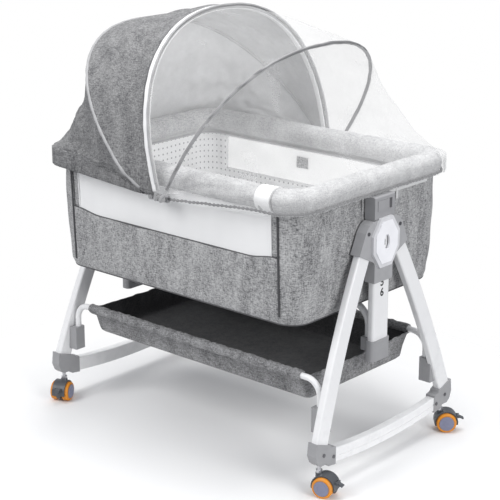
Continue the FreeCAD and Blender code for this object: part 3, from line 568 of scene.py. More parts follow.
def waves(seed: int, count: int, low: float, high: float) -> Callable[[Points, Points], Points]:
    """A smooth field over two coordinates in metres, between about -1 and 1.

    Args:
        seed: which field.
        count: how many waves are added.
        low: shortest wavelength.
        high: longest wavelength.

    Returns:
        A function of two arrays of coordinates.
    """
    rng = np.random.default_rng(seed)
    lengths = rng.uniform(low, high, count)
    turns = rng.uniform(0, 2 * math.pi, count)
    phases = rng.uniform(0, 2 * math.pi, count)

    def field(a: Points, b: Points) -> Points:
        total = np.zeros(np.broadcast(a, b).shape)
        for length, turn, phase in zip(lengths, turns, phases):
            total += np.sin(2 * math.pi * (a * math.cos(turn) + b * math.sin(turn)) / length + phase)
        return total / math.sqrt(count)

    return field


def tube(name: str, line: Points, radius: float, material: bpy.types.Material, sides: int = 12,
         closed: bool = False, crease: Callable[[Points, Points], Points] | None = None) -> bpy.types.Object:
    """A round tube along a line of points.

    Args:
        name: the piece's name.
        line: points of the middle line.
        radius: the tube's radius.
        material: its finish.
        sides: how many sides the section has.
        closed: whether the line comes back to its start.
        crease: a field of distance along the line and angle that is added to the radius.

    Returns:
        The mesh object, with its ends closed.
    """
    count = len(line)
    if closed:
        along = np.roll(line, -1, axis=0) - np.roll(line, 1, axis=0)
    else:
        along = np.gradient(line, axis=0)
    along = along / np.linalg.norm(along, axis=1, keepdims=True)
    side = crossing(along, np.tile([0.0, 0.0, 1.0], (count, 1)))
    side[np.abs(along[:, 2]) > UPRIGHT] = [0.0, 1.0, 0.0]
    for i in range(1, count):
        part = side[i - 1] - along[i] * np.dot(side[i - 1], along[i])
        side[i] = part / np.linalg.norm(part)
    up = crossing(side, along)
    angles = np.linspace(0, 2 * math.pi, sides, endpoint=False)
    radii = np.full((count, sides), radius)
    if crease is not None:
        radii = radii + crease(distances(line)[:, None], np.broadcast_to(angles, (count, sides)))
    ring = side[:, None, :] * np.cos(angles)[None, :, None] + up[:, None, :] * np.sin(angles)[None, :, None]
    points = line[:, None, :] + ring * radii[:, :, None]
    faces = [f[::-1] for f in grid_faces(count, sides, closed, True)]
    if not closed:
        last = (count - 1) * sides
        faces.append(tuple(range(sides)))
        faces.append(tuple(last + i for i in reversed(range(sides))))
    return new_object(name, points, faces, material)


def rounded_rectangle(half_x: float, half_y: float, corner: float, along_x: Points, along_y: Points,
                      bend: int) -> Points:
    """The points of a rounded rectangle, anticlockwise from the start of the foot end.

    Args:
        half_x: half length.
        half_y: half width.
        corner: corner radius.
        along_x: shares from -1 to 1 of the straight part of a long side.
        along_y: the same for the short sides.
        bend: how many steps each corner has.

    Returns:
        An array of x and y.
    """
    flat_x, flat_y = half_x - corner, half_y - corner
    foot = np.stack([np.full(len(along_y), half_x), along_y * flat_y], 1)
    back = np.stack([-along_x * flat_x, np.full(len(along_x), half_y)], 1)
    turn = np.linspace(0, math.pi / 2, bend + 1)[1:-1]
    parts = []
    for quarter, (side, x, y) in enumerate(((foot, flat_x, flat_y), (back, -flat_x, flat_y),
                                            (-foot, -flat_x, -flat_y), (-back, flat_x, -flat_y))):
        angles = turn + quarter * math.pi / 2
        parts += [side, np.stack([x + corner * np.cos(angles), y + corner * np.sin(angles)], 1)]
    return np.concatenate(parts)


# ---- soft goods of the cradle -----------------------------------------------------------------------


@dataclass(frozen=True)
class TubShape:
    """The tapered tub: sections of height, half length, half width and corner radius, and its openings."""

    sections: tuple[tuple[float, float, float, float], ...] = (
        (0.388, 0.366, 0.254, 0.046), (0.394, 0.375, 0.263, 0.050), (0.408, 0.380, 0.268, 0.053),
        (0.668, 0.388, 0.277, 0.058))
    window_low: float = 0.548
    window_high: float = 0.640
    window_x: float = 0.312
    drop_x: float = 0.330
    clear_x: float = 0.3316
    wall_y: float = 0.262
    dip: float = 0.0105
    dip_run: float = 0.085
    dip_depth: float = 0.10

    def up_wall(self, side: Side, x: float, inset: float, low: float, high: float) -> Points:
        """Twelve points up a long wall, a little inside its outer face."""
        return np.array([[x, side.value * (self.at(z)[1] - inset), z] for z in np.linspace(low, high, 12)])

    def lowered(self, x: Points, y: Points, z: Points) -> Points:
        """Heights on the bed side once the low wall's edge has sunk between its two corners."""
        edge = self.drop_x - 0.004
        along = eased(ramp(np.abs(x), edge, edge - self.dip_run))
        share = ramp(z, self.window_low - self.dip_depth, self.window_low) * (y < -self.wall_y)
        return z - self.dip * along * share

    def beside_drop(self, grid: Points) -> Points:
        """The grid with its columns at the ends of the dropping side moved clear of the rail."""
        x, y, z = grid[..., 0], grid[..., 1], grid[..., 2]
        column = (np.abs(x) > self.drop_x - 0.005) & (np.abs(x) < self.clear_x)
        near = column & (y < 0.012 - self.wall_y) & (z > self.window_low - 0.001)
        grid[..., 0] = np.where(near, np.sign(x) * self.clear_x, x)
        return grid

    def at(self, z: float) -> tuple[float, float, float]:
        """Half length, half width and corner radius at a height."""
        heights = [s[0] for s in self.sections]
        return tuple(float(np.interp(z, heights, [s[k] for s in self.sections])) for k in (1, 2, 3))


@dataclass
class Tub:
    """The cloth tub with its lining, mattress and windows."""

    shape: TubShape
    palette: Palette
    wall: float = 0.003
    foot_rows: tuple[float, ...] = (0.388, 0.3895, 0.3915, 0.394, 0.398, 0.402, 0.408)
    rim_rows: tuple[float, ...] = (0.648, 0.658, 0.668)
    belly: float = 0.003
    fold: float = 0.0016
    crease: float = 0.0006
    foot_crease: float = 0.0011
    zip_x: float = 0.334
    zip_flat: float = 0.005
    lining_gap: float = 0.0055
    lining_wall: float = 0.0022
    lining_low: float = 0.403
    lining_top: float = 0.641
    lining_puff: float = 0.0035
    lining_fold: float = 0.0018
    lining_crease: float = 0.0006
    piping_z: float = 0.3925
    piping_r: float = 0.0024
    binding_z: float = 0.6425
    binding_inset: float = 0.0065
    binding_r: float = 0.003
    window_cord: float = 0.0035
    wall_cord: float = 0.0034
    seam_y: float = 0.049
    seam_r: float = 0.0009
    drop_low: float = 0.5483
    drop_high: float = 0.6517
    drop_keep: float = 0.030
    mattress: tuple[tuple[float, float], ...] = (
        (0.4025, 0.024), (0.4030, 0.013), (0.409, 0.0095), (0.416, 0.0085), (0.4235, 0.0095),
        (0.4285, 0.0135), (0.4313, 0.021), (0.4325, 0.032))
    crown: tuple[tuple[float, float], ...] = (
        (0.93, 0.0008), (0.8, 0.0014), (0.6, 0.0018), (0.4, 0.002), (0.2, 0.002), (0.02, 0.002))
    steps_x: int = 56
    steps_y: int = 34
    bend: int = 10

    def shares(self) -> tuple[Points, Points]:
        """Positions along the long and the short sides, with one at each window edge."""
        edge = self.shape.window_x / (self.shape.drop_x - 0.001)
        inner = np.linspace(-edge, edge, self.steps_x - 3)
        return np.concatenate([[-1.0], inner, [1.0]]), np.linspace(-1, 1, self.steps_y)

    def outline(self, z: float, inset: float) -> Points:
        """The tub's outline at a height, moved inwards."""
        half_x, half_y, corner = self.shape.at(z)
        along_x, along_y = self.shares()
        flat = rounded_rectangle(half_x - inset, half_y - inset, corner - inset, along_x, along_y, self.bend)
        return np.column_stack([flat, np.full(len(flat), z)])

    def outward(self, grid: Points) -> Points:
        """Level unit vectors out of the tub, leaning towards its long walls."""
        out = np.stack([grid[..., 0] * 0.6, grid[..., 1], np.zeros_like(grid[..., 0])], axis=-1)
        return out / np.linalg.norm(out, axis=-1, keepdims=True)

    def kept(self, rows: Sequence[float]) -> Callable[[int, int], bool]:
        """Which quads are cloth: not the dropping side above the wall, and not the back window."""
        s = self.shape
        middle = self.outline(0.6, 0.0)
        between = (middle + np.roll(middle, -1, axis=0)) / 2
        on_wall = s.wall_y + 0.003

        def test(i: int, j: int) -> bool:
            z = (rows[i] + rows[i + 1]) / 2
            x, y = between[j][0], between[j][1]
            if y < -on_wall and abs(x) < s.drop_x - 0.003 and z > s.window_low:
                return False
            return not (y > on_wall and abs(x) < s.window_x - 0.002 and s.window_low < z < s.window_high)

        return test

    def build_shell(self) -> bpy.types.Object:
        """The outer cloth with its closed bottom."""
        s = self.shape
        rows = [*self.foot_rows, *np.linspace(0.418, s.window_low, 15),
                *np.linspace(s.window_low, s.window_high, 11)[1:], *self.rim_rows]
        grid = np.stack([self.outline(z, 0.0) for z in rows])
        field, fine = waves(3, 7, 0.10, 0.34), waves(5, 8, 0.035, 0.08)
        height = np.array(rows)[:, None]
        run = distances(grid[10])[None, :]
        crease = self.crease + self.foot_crease * ramp(grid[..., 0], 0.24, 0.36)
        creases = self.fold * field(run, height * 0.7) + crease * fine(run, height * 0.45)
        belly = self.belly * np.sin(math.pi * ramp(height, 0.4, 0.66))
        from_zip = np.abs(np.abs(grid[..., 0]) - self.zip_x)
        at_zip = ramp(from_zip, self.zip_flat, self.zip_flat + 0.03)
        slack = ramp(height, 0.392, 0.422) * ramp(height, 0.66, 0.63)
        slack = slack * np.where(grid[..., 1] < -s.wall_y, at_zip, 1.0)
        grid = s.beside_drop(grid + self.outward(grid) * ((creases + belly) * slack)[..., None])
        grid[..., 2] = s.lowered(grid[..., 0], grid[..., 1], grid[..., 2])
        base = [grid[0] * np.array([k, k, 1.0]) for k in (0.02, 0.3, 0.6, 0.9)]
        whole = np.concatenate([np.stack(base), grid])
        columns = whole.shape[1]
        faces = grid_faces(len(whole), columns, False, True, self.kept(rows[:1] * len(base) + rows))
        faces.append(tuple(reversed(range(columns))))
        made = new_object("tub_cloth", whole, faces, self.palette.shell)
        thickened(made, self.wall, self.palette.hood_lining)
        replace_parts(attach(made, "cradle"), "tub_shell")
        return made

    def build_lining(self) -> bpy.types.Object:
        """The dotted lining up to the grey band under the rim."""
        s = self.shape
        rows = [self.lining_low, 0.406, 0.412, *np.linspace(0.42, s.window_low, 14),
                *np.linspace(s.window_low, s.window_high, 10)[1:], self.lining_top]
        grid = np.stack([self.outline(z, self.lining_gap) for z in rows])
        height = np.array(rows)[:, None]
        run = distances(grid[10])[None, :]
        field, fine = waves(11, 6, 0.08, 0.25), waves(12, 6, 0.03, 0.06)
        puff = self.lining_puff * np.abs(np.sin(math.pi * np.clip((height - 0.43) / 0.118, 0, 2)))
        folds = self.lining_fold * (1 + field(run, height)) + self.lining_crease * fine(run, height * 0.5)
        edge = ramp(height, s.window_high + 0.003, s.window_high - 0.017)
        grid = s.beside_drop(grid - self.outward(grid) * ((folds + puff) * edge)[..., None])
        grid[..., 2] = s.lowered(grid[..., 0], grid[..., 1], grid[..., 2])
        faces = [f[::-1] for f in grid_faces(len(grid), grid.shape[1], False, True, self.kept(rows))]
        made = new_object("dotted_lining", grid, faces, self.palette.dotted)
        thickened(made, self.lining_wall)
        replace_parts(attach(made, "cradle"), "lining")
        return made

    def build_trim(self) -> list[bpy.types.Object]:
        """Piping round the bottom, the seams of the ends and the bindings of the openings and the lining."""
        s, p = self.shape, self.palette
        bottom = self.outline(self.piping_z, -0.0005)
        made = [tube("bottom_piping", bottom, self.piping_r, p.grey_tape, 8, True)]
        rim = self.outline(self.binding_z, self.binding_inset)
        ring = rim[~((rim[:, 1] < -s.wall_y) & (np.abs(rim[:, 0]) < s.drop_x - 0.001))]
        gaps = np.linalg.norm(np.roll(ring, -1, axis=0) - ring, axis=1)
        ring = np.roll(ring, -(int(np.argmax(gaps)) + 1), axis=0)
        made.append(tube("lining_binding", ring, self.binding_r, p.pale_tape, 8))
        for end in End:
            up = s.up_wall(Side.BACK, end.value * s.window_x, self.window_cord, s.window_low, s.window_high)
            name = "back_window_binding_" + end.name.lower()
            made.append(tube(name, up, self.window_cord, p.white_tape, 8))
        for end in End:
            up = s.up_wall(Side.BED, end.value * (s.drop_x + 0.004), 0.0035, s.window_low, 0.656)
            made.append(tube("drop_side_binding_" + end.name.lower(), up, self.binding_r, p.grey_tape, 8))
        xs = np.linspace(-0.329, 0.329, 90)
        y = np.full_like(xs, 0.003 - s.at(s.window_low)[1])
        edge = np.column_stack([xs, y, s.lowered(xs, y, np.full_like(xs, s.window_low)) - 0.001])
        made.append(tube("drop_wall_binding", edge, self.wall_cord, p.grey_tape, 8))
        for end in End:
            for side in Side:
                up = np.array([[end.value * (s.at(z)[0] + 0.0032), side.value * self.seam_y, z]
                               for z in np.linspace(0.40, 0.652, 14)])
                name = f"end_seam_{end.name.lower()}_{side.name.lower()}"
                made.append(tube(name, up, self.seam_r, p.seam, 6))
        xs = np.linspace(-s.window_x, s.window_x, 40)
        for z, name in ((s.window_low, "low"), (s.window_high, "high")):
            line = np.column_stack([xs, np.full_like(xs, s.at(z)[1] - self.window_cord), np.full_like(xs, z)])
            made.append(tube("back_window_binding_" + name, line, self.window_cord, p.white_tape, 8))
        for piece in made:
            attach(piece, "cradle")
        return made

    def mattress_ring(self, z: float, inset: float) -> Points:
        """The outline of the mattress at a height, moved inwards from the tub's."""
        half_x, half_y, corner = self.shape.at(0.42)
        flat = rounded_rectangle(half_x - inset, half_y - inset, max(corner - inset, 0.01), *self.shares(),
                                 self.bend)
        return np.column_stack([flat, np.full(len(flat), z)])

    def build_mattress(self) -> bpy.types.Object:
        """The thin foam mattress in its cotton cover, and the piping round its edge."""
        rings = [self.mattress_ring(z, inset) for z, inset in self.mattress]
        top = rings[-1]
        rings.insert(0, rings[0] * np.array([0.02, 0.02, 1.0]))
        rings += [top * np.array([k, k, 1.0]) + np.array([0.0, 0.0, rise]) for k, rise in self.crown]
        grid = np.stack(rings)
        field = waves(21, 8, 0.09, 0.3)
        grid[..., 2] += 0.0009 * field(grid[..., 0], grid[..., 1]) * ramp(grid[..., 2], 0.428, 0.432)
        columns = grid.shape[1]
        faces = grid_faces(len(grid), columns, False, True)
        faces.append(tuple(reversed(range(columns))))
        faces.append(tuple((len(grid) - 1) * columns + i for i in range(columns)))
        made = new_object("mattress_pad", grid, faces, self.palette.sheeting)
        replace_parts(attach(made, "cradle"), "mattress")
        edge = tube("mattress_piping", self.mattress_ring(0.4255, 0.0098), 0.0017, self.palette.white_tape, 8,
                    True)
        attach(edge, "cradle")
        return made

    def wall_sheet(self, side: Side, low: float, high: float, reach: Sequence[float], name: str,
                   material: bpy.types.Material, sag: float) -> bpy.types.Object:
        """A thin sheet along a long wall.

        Args:
            side: the bed side or the back.
            low: height of its lower edge.
            high: height of its upper edge.
            reach: the x of its two ends.
            name: the piece's name, whose length also picks its folds.
            material: its finish.
            sag: how far its middle falls inwards.

        Returns:
            The mesh object.
        """
        xs, zs = np.linspace(*reach, 48), np.linspace(low, high, 10)
        grid = np.zeros((len(zs), len(xs), 3))
        field = waves(31 + len(name), 7, 0.03, 0.12)
        for i, z in enumerate(zs):
            y = self.shape.at(z)[1] - 0.0028
            up = i / (len(zs) - 1)
            at = side.value * (y - sag * np.sin(math.pi * up) * (1 + 0.6 * field(xs, np.full_like(xs, z))))
            sunk = self.shape.lowered(xs, at, np.full_like(xs, self.shape.window_low)) - self.shape.window_low
            grid[i] = np.stack([xs, at, z + sunk * (1 - up)], 1)
        return new_object(name, grid, grid_faces(len(zs), len(xs)), material)

    def build_windows(self) -> list[bpy.types.Object]:
        """The net windows of both long sides, and the strips beside the one that drops."""
        s, low, high = self.shape, self.drop_low, self.drop_high
        reach = (-s.window_x, s.window_x)
        back = self.wall_sheet(Side.BACK, s.window_low - 0.002, s.window_high + 0.002, reach, "back_window",
                               self.palette.back_window, 0.0014)
        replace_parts(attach(back, "cradle"), "back_window_net")
        front = self.wall_sheet(Side.BED, low, high, reach, "drop_window", self.palette.window, 0.0012)
        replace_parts(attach(front, "cradle"), "drop_window_net")
        dropping = [front]
        for end in End:
            reach = sorted((end.value * s.window_x, end.value * (s.drop_x - 0.001)))
            name = "drop_window_strip_" + end.name.lower()
            strip = self.wall_sheet(Side.BED, low, high, reach, name, self.palette.shell, 0.0004)
            thickened(strip, 0.002)
            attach(strip, "cradle")
            up = s.up_wall(Side.BED, end.value * s.window_x, 0.0022, low, high)
            seam = tube(name + "_seam", up, 0.0016, self.palette.white_tape, 8)
            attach(seam, "cradle")
            dropping += [strip, seam]
        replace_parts(dropping[1], "drop_window_border")
        for piece in dropping:
            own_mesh(piece)
        return [back, *dropping]

    def build(self) -> int:
        """Builds the tub's soft goods and says how many pieces they are."""
        pieces = [self.build_shell(), self.build_lining(), self.build_mattress()]
        return len(pieces + self.build_trim() + self.build_windows())


@dataclass
class Rim:
    """The padded roll round the top, with the part that drops on the bed side."""

    palette: Palette
    half_x: float = 0.380
    half_y: float = 0.270
    corner: float = 0.050
    height: float = 0.681
    radius: float = 0.029
    end_round: float = 0.0035
    drop_x: float = 0.330
    gap: float = 0.0003
    band: tuple[float, float] = (0.284, 0.326)
    band_lift: float = 0.0011
    stitch: float = 0.017
    sides: int = 28

    def crease(self, seed: int) -> Callable[[Points, Points], Points]:
        """Small puckers of the padded cloth, and the seam drawn in along it."""
        along, fine = waves(seed, 7, 0.05, 0.16), waves(seed + 1, 7, 0.012, 0.03)

        def field(run: Points, angle: Points) -> Points:
            seam = np.exp(-((np.mod(angle + 0.5, 2 * math.pi) - 0.2) / 0.12) ** 2)
            puckers = 0.0007 * along(run, angle * 0.03) + 0.0003 * fine(run, angle * 0.01)
            stitches = 0.0004 * (1 + np.sin(run * 2 * math.pi / self.stitch))
            return -0.0009 + puckers - (0.0011 + stitches) * seam

        return field

    def rail_line(self, start: float, end: float, count: int) -> Points:
        """Points along the dropping rail between two x."""
        return np.array([[x, -self.half_y, self.height] for x in np.linspace(start, end, count)])

    def build_ring(self) -> bpy.types.Object:
        """The roll that is fixed to the cradle, from one end of the dropping rail round to the other."""
        flat = rounded_rectangle(self.half_x, self.half_y, self.corner, np.linspace(-1, 1, 150),
                                 np.linspace(-1, 1, 80), 14)
        line = np.column_stack([flat, np.full(len(flat), self.height)])
        drop = (line[:, 1] < -self.half_y + SAME_POINT) & (np.abs(line[:, 0]) < self.drop_x + SAME_POINT)
        first = int(np.argmax(drop))
        kept = np.roll(line, -first, axis=0)[np.roll(~drop, -first)]
        reach = self.drop_x + self.gap
        line = np.vstack([[reach, -self.half_y, self.height], kept, [-reach, -self.half_y, self.height]])
        made = tube("rim_cushion", line, self.radius, self.palette.roll, self.sides, False, self.crease(41))
        bevelled(made, self.end_round, 3)
        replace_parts(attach(made, "cradle"), "rim_roll")
        return made

    def build_rail(self) -> list[bpy.types.Object]:
        """The roll of the dropping rail with its white band."""
        reach = self.drop_x - self.gap
        roll = tube("rail_cushion", self.rail_line(-reach, reach, 190), self.radius, self.palette.roll,
                    self.sides, False, self.crease(51))
        bevelled(roll, self.end_round, 3)
        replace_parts(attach(roll, "drop_side"), "rail_roll")
        crease = self.crease(61)
        band = tube("rail_white_band", self.rail_line(*self.band, 22), self.radius + self.band_lift,
                    self.palette.white_tape, self.sides, False, lambda run, angle: 0.6 * crease(run, angle))
        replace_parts(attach(band, "drop_side"), "rail_band")
        return [roll, band]

    def build(self) -> int:
        """Builds the rolls and says how many pieces they are."""
        return len([self.build_ring(), *self.build_rail()])


# ---- cover ------------------------------------------------------------------------------------------


@dataclass(frozen=True)
class Bow:
    """A bow of the cover: pivot x, lean from upright in degrees, half width, height above the pivot, eyes' y.

    Its legs rise from the eyes, and its arch is a superellipse of the given fullness.
    """

    pivot_x: float
    lean: float
    half: float
    height: float
    eye_y: float
    pivot_z: float = 0.636
    start: float = 0.004
    leg: float = 0.080
    fullness: float = 2.3
    steps: int = 240
    samples: int = 600
    smoothing: int = 12

    def flat(self) -> Points:
        """The middle line laid flat: y across the crib and the rise above the pivot."""
        t = np.linspace(0, math.pi, self.steps + 1)
        power = 2 / self.fullness
        c, s = np.cos(t), np.sin(t)
        arch = np.stack([-np.sign(c) * self.half * np.abs(c) ** power,
                         self.leg + (self.height - self.leg) * np.abs(s) ** power], 1)
        foot = np.array([[-self.eye_y, self.start], [-(self.eye_y + self.half) / 2, self.leg / 2]])
        rough = np.concatenate([foot, arch, foot[::-1] * [-1, 1]])
        run = distances(rough)
        even = np.linspace(0, run[-1], self.samples)
        line = np.stack([np.interp(even, run, rough[:, k]) for k in (0, 1)], 1)
        for _ in range(self.smoothing):
            line[1:-1] = (line[:-2] + 2 * line[1:-1] + line[2:]) / 4
        return line

    def line(self, lengths: Points, out: float = 0.0, shift: float | Points = 0.0) -> Points:
        """Points at lengths along the bow, moved outwards in its plane and across it.

        Args:
            lengths: distances along the bow from its foot on the bed side.
            out: how far outside the middle line.
            shift: how far across the bow's plane towards the foot end.

        Returns:
            An array of points.
        """
        flat = self.flat()
        along = np.gradient(flat, axis=0)
        along /= np.linalg.norm(along, axis=1, keepdims=True)
        moved = flat + np.stack([-along[:, 1], along[:, 0]], 1) * out
        run = distances(flat)
        y, up = (np.interp(lengths, run, moved[:, k]) for k in (0, 1))
        a = math.radians(self.lean)
        return np.stack([self.pivot_x + up * math.sin(a) + shift * math.cos(a), y,
                         self.pivot_z + up * math.cos(a) - shift * math.sin(a)], axis=-1)

    def length(self) -> float:
        """The bow's length from eye to eye."""
        return float(distances(self.flat())[-1])

    def normal(self) -> Vector:
        """The direction across the bow's plane, towards the foot end."""
        a = math.radians(self.lean)
        return Vector((math.cos(a), 0.0, -math.sin(a)))


@dataclass(frozen=True)
class Skirt:
    """The line where the cover lies round the rim: half length, half width, corner and heights."""

    half_x: float = 0.410
    half_y: float = 0.3184
    corner: float = 0.092
    start_top: float = 0.044
    start_hem: float = 0.048
    top: tuple[float, float] = (0.658, 0.697)
    hem: tuple[float, float] = (0.640, 0.657)

    def line(self, end: End, shares: Points, lower: bool) -> Points:
        """Points round one end from the bed side to the back.

        Args:
            end: the head or the foot end.
            shares: positions from 0 to 6: straight side, corner and end, and back again.
            lower: the hem, instead of the line above it.

        Returns:
            An array of points.
        """
        start = self.start_hem if lower else self.start_top
        z0, z1 = self.hem if lower else self.top
        points = []
        for share in shares:
            side = -1 if share <= 3 else 1
            u = share if share <= 3 else 6 - share
            if u <= 1:
                x, y, z = start + (self.half_x - self.corner - start) * u, self.half_y, z0 + (z1 - z0) * u
            elif u <= 2:
                a = (u - 1) * math.pi / 2
                x = self.half_x - self.corner + self.corner * math.sin(a)
                y, z = self.half_y - self.corner + self.corner * math.cos(a), z1
            else:
                x, y, z = self.half_x, (self.half_y - self.corner) * (3 - u), z1
            points.append((end.value * x, side * y, z))
        return np.array(points)


@dataclass
class Cover:
    """The folding hood and the net on three bows."""

    palette: Palette
    rear: Bow = Bow(-0.020, -44.0, 0.345, 0.478, 0.3121)
    front: Bow = Bow(0.0, -12.0, 0.318, 0.408, 0.3154)
    far: Bow = Bow(0.020, 32.0, 0.320, 0.404, 0.3187)
    skirt: Skirt = Skirt()
    rod: float = 0.0035
    lift: float = 0.0012
    cloth: float = 0.0012
    tape: float = 0.0008
    tape_reach: tuple[float, float] = (0.05, 5.95)
    roundness: float = 0.55
    pleat: float = 0.022
    gather: float = 0.05
    hem_half: tuple[float, float] = (0.4040, 0.3046)
    hem_corner: float = 0.084
    hem_z: float = 0.6595
    hem_dip: float = 0.022
    hem_dip_run: float = 0.320
    hem_scallop: float = 0.0125
    splits: tuple[float, float, float] = (0.008, 0.091, 0.376)
    columns: int = 260
    rows: int = 34
    hem_rows: int = 4

    def marks(self, bow: Bow) -> list[float]:
        """The distances along a bow that positions 0 to 6 stand for."""
        total = bow.length()
        return [*self.splits, total / 2, *(total - split for split in reversed(self.splits))]

    def shares(self) -> Points:
        """Positions from 0 to 6 of the columns, even in length along a bow."""
        marks = self.marks(self.rear)
        return np.interp(np.linspace(marks[0], marks[-1], self.columns), marks, range(7))

    def on_bow(self, bow: Bow, shares: Points, out: float, shift: float | Points = 0.0) -> Points:
        """Points on a bow at positions from 0 to 6."""
        return bow.line(np.interp(shares, range(7), self.marks(bow)), out, shift)

    def end_grid(self, end: End, bow: Bow, sag: float, fold: float, ruffle: float, seed: int) -> Points:
        """The surface from a bow down over one end of the rim.

        Args:
            end: the head or the foot end.
            bow: the bow it hangs from.
            sag: how far it falls inwards between bow and rim.
            fold: height of its folds.
            ruffle: height of the gathers at the hem.
            seed: which folds.

        Returns:
            A grid of points, from the bow to the hem.
        """
        shares = self.shares()
        top = self.on_bow(bow, shares, self.rod + self.lift)
        low, hem = (self.skirt.line(end, shares, lower) for lower in (False, True))
        falls = np.arange(self.rows + 1)[:, None, None] / self.rows
        turns = np.arange(1, self.hem_rows + 1)[:, None, None] / self.hem_rows
        made = np.concatenate([top * (1 - falls) + low * falls, low * (1 - turns) + hem * turns])
        out = normals_of(made)
        centre = np.array([end.value * 0.15, 0.0, 0.68])
        facing = np.sum(out * (made - centre), axis=-1, keepdims=True)
        out = out * np.where(facing < 0, -1.0, 1.0)
        row = np.arange(len(made))[:, None]
        v = ramp(row, 0, self.rows)
        run = (shares / 6 * bow.length())[None, :]
        field, fine = waves(seed, 8, 0.09, 0.22), waves(seed + 1, 8, 0.03, 0.07)
        free = np.sin(math.pi * v) ** 0.8
        narrow = ramp(np.minimum(shares, 6 - shares), 0, 1.2)[None, :]
        gather = np.sin(run * 2 * math.pi / self.gather + 2.5 * field(run, v * 0.2)) * (1 - narrow) * 0.5
        folds = field(run, v * 0.35) + 0.45 * fine(run * 0.8, v * 0.3) + gather
        lift = (fold * folds - sag * narrow) * free
        past = ramp(row, self.rows, self.rows + self.hem_rows)
        before = ramp(v, 0.86, 1.0) * (1 - past) + past
        level = np.zeros_like(v)
        pleats = np.sin(run * 2 * math.pi / self.pleat + 1.8 * fine(run, level))
        lift = lift + ruffle * before * pleats * (0.7 + 0.3 * field(run, level))
        return made + out * lift[..., None]

    def span_grid(self, a: Bow, b: Bow, sag: float, fold: float, seed: int) -> Points:
        """The surface between two bows, hanging a little between them.

        Args:
            a: the bow it starts from.
            b: the bow it ends at.
            sag: how far it falls inwards.
            fold: height of its creases.
            seed: which creases.

        Returns:
            A grid of points, from bow to bow.
        """
        shares = self.shares()
        first, last = (self.on_bow(bow, shares, self.rod + self.lift) for bow in (a, b))
        v = np.linspace(0, 1, self.rows + 1)[:, None]
        pivot = np.array([(a.pivot_x + b.pivot_x) / 2, 0.0, a.pivot_z])
        reach_a, reach_b = (np.linalg.norm((edge - pivot)[:, [0, 2]], axis=1) for edge in (first, last))
        wanted = reach_a[None] * (1 - v) + reach_b[None] * v
        arms = first[None] * (1 - v[..., None]) + last[None] * v[..., None] - pivot
        reach = np.linalg.norm(arms[..., [0, 2]], axis=-1)
        run = (shares / 6 * a.length())[None, :]
        field, fine = waves(seed, 8, 0.07, 0.2), waves(seed + 1, 9, 0.02, 0.05)
        free = np.sin(math.pi * v) ** 0.8
        creases = field(run * 0.5, v * 0.25) + 0.6 * fine(run * 0.35, v * 0.3 + run * 0.15)
        narrow = ramp(np.minimum(shares, 6 - shares), 0, 1.0)[None, :]
        full = reach + (wanted - reach) * self.roundness + (fold * creases - sag) * narrow * free
        scale = np.where(reach > 0.02, full / np.maximum(reach, SAME_POINT), 1.0)
        arms[..., [0, 2]] *= scale[..., None]
        return arms + pivot

    def sheet_piece(self, name: str, grid: Points, material: bpy.types.Material, thickness: float,
                    inner: bpy.types.Material | None = None) -> bpy.types.Object:
        """A cloth over a grid, turned so that its outer face looks out."""
        middle = Vector(grid.reshape(-1, 3).mean(axis=0))
        made = new_object(name, grid, grid_faces(*grid.shape[:2]), material)
        if sum(f.normal.dot(f.center - middle) * f.area for f in made.data.polygons) < 0:
            made.data.flip_normals()
        if thickness > 0:
            thickened(made, thickness, inner)
        made.visible_shadow = thickness > 0
        return made

    def strip(self, name: str, bow: Bow, across: tuple[float, float], out: float,
              material: bpy.types.Material, body: str) -> bpy.types.Object:
        """A narrow band of tape that lies along a bow.

        Args:
            name: the piece's name, whose length also picks its wobble.
            bow: the bow it lies along.
            across: where its two edges lie across the bow's plane.
            out: how far outside the rod's middle.
            material: its finish.
            body: the body it rides on.

        Returns:
            The mesh object.
        """
        shares = self.shares()
        shares = shares[(shares > self.tape_reach[0]) & (shares < self.tape_reach[1])]
        field = waves(len(name), 8, 0.03, 0.09)
        rows = []
        for k in np.linspace(*across, 4):
            wobble = 0.0006 * field(shares * 0.25, np.full_like(shares, k * 5))
            rows.append(self.on_bow(bow, shares, out - 0.12 * abs(k), k + wobble))
        made = self.sheet_piece(name, np.stack(rows), material, self.tape)
        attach(made, body)
        return made

    def sleeve(self, name: str, bow: Bow, radius: float, material: bpy.types.Material, body: str,
               shift: float = 0.0, out: float = 0.0) -> bpy.types.Object:
        """A cloth sleeve round a bow.

        Args:
            name: the piece's name, whose length also picks its creases.
            bow: the bow it covers.
            radius: the sleeve's radius.
            material: its finish.
            body: the body it rides on.
            shift: how far across the bow's plane towards the foot end.
            out: how far outside the rod's middle.

        Returns:
            The mesh object.
        """
        lengths = np.linspace(0.03, bow.length() - 0.03, 220)
        field = waves(len(name) + 7, 8, 0.02, 0.06)
        made = tube(name, bow.line(lengths, out, shift), radius, material, 12, False,
                    lambda run, angle: 0.0004 * field(run, angle * 0.004))
        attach(made, body)
        return made

    def build_hood(self) -> list[bpy.types.Object]:
        """The melange hood over the head end."""
        back = self.sheet_piece("hood_back", self.end_grid(End.HEAD, self.rear, 0.012, 0.0045, 0.0012, 71),
                                self.palette.hood, self.cloth, self.palette.hood_lining)
        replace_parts(back, "canopy_back_cloth")
        top = self.sheet_piece("hood_top", self.span_grid(self.rear, self.front, 0.008, 0.0042, 81),
                               self.palette.hood, self.cloth, self.palette.hood_lining)
        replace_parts(top, "canopy_top_cloth")
        return [back, top]

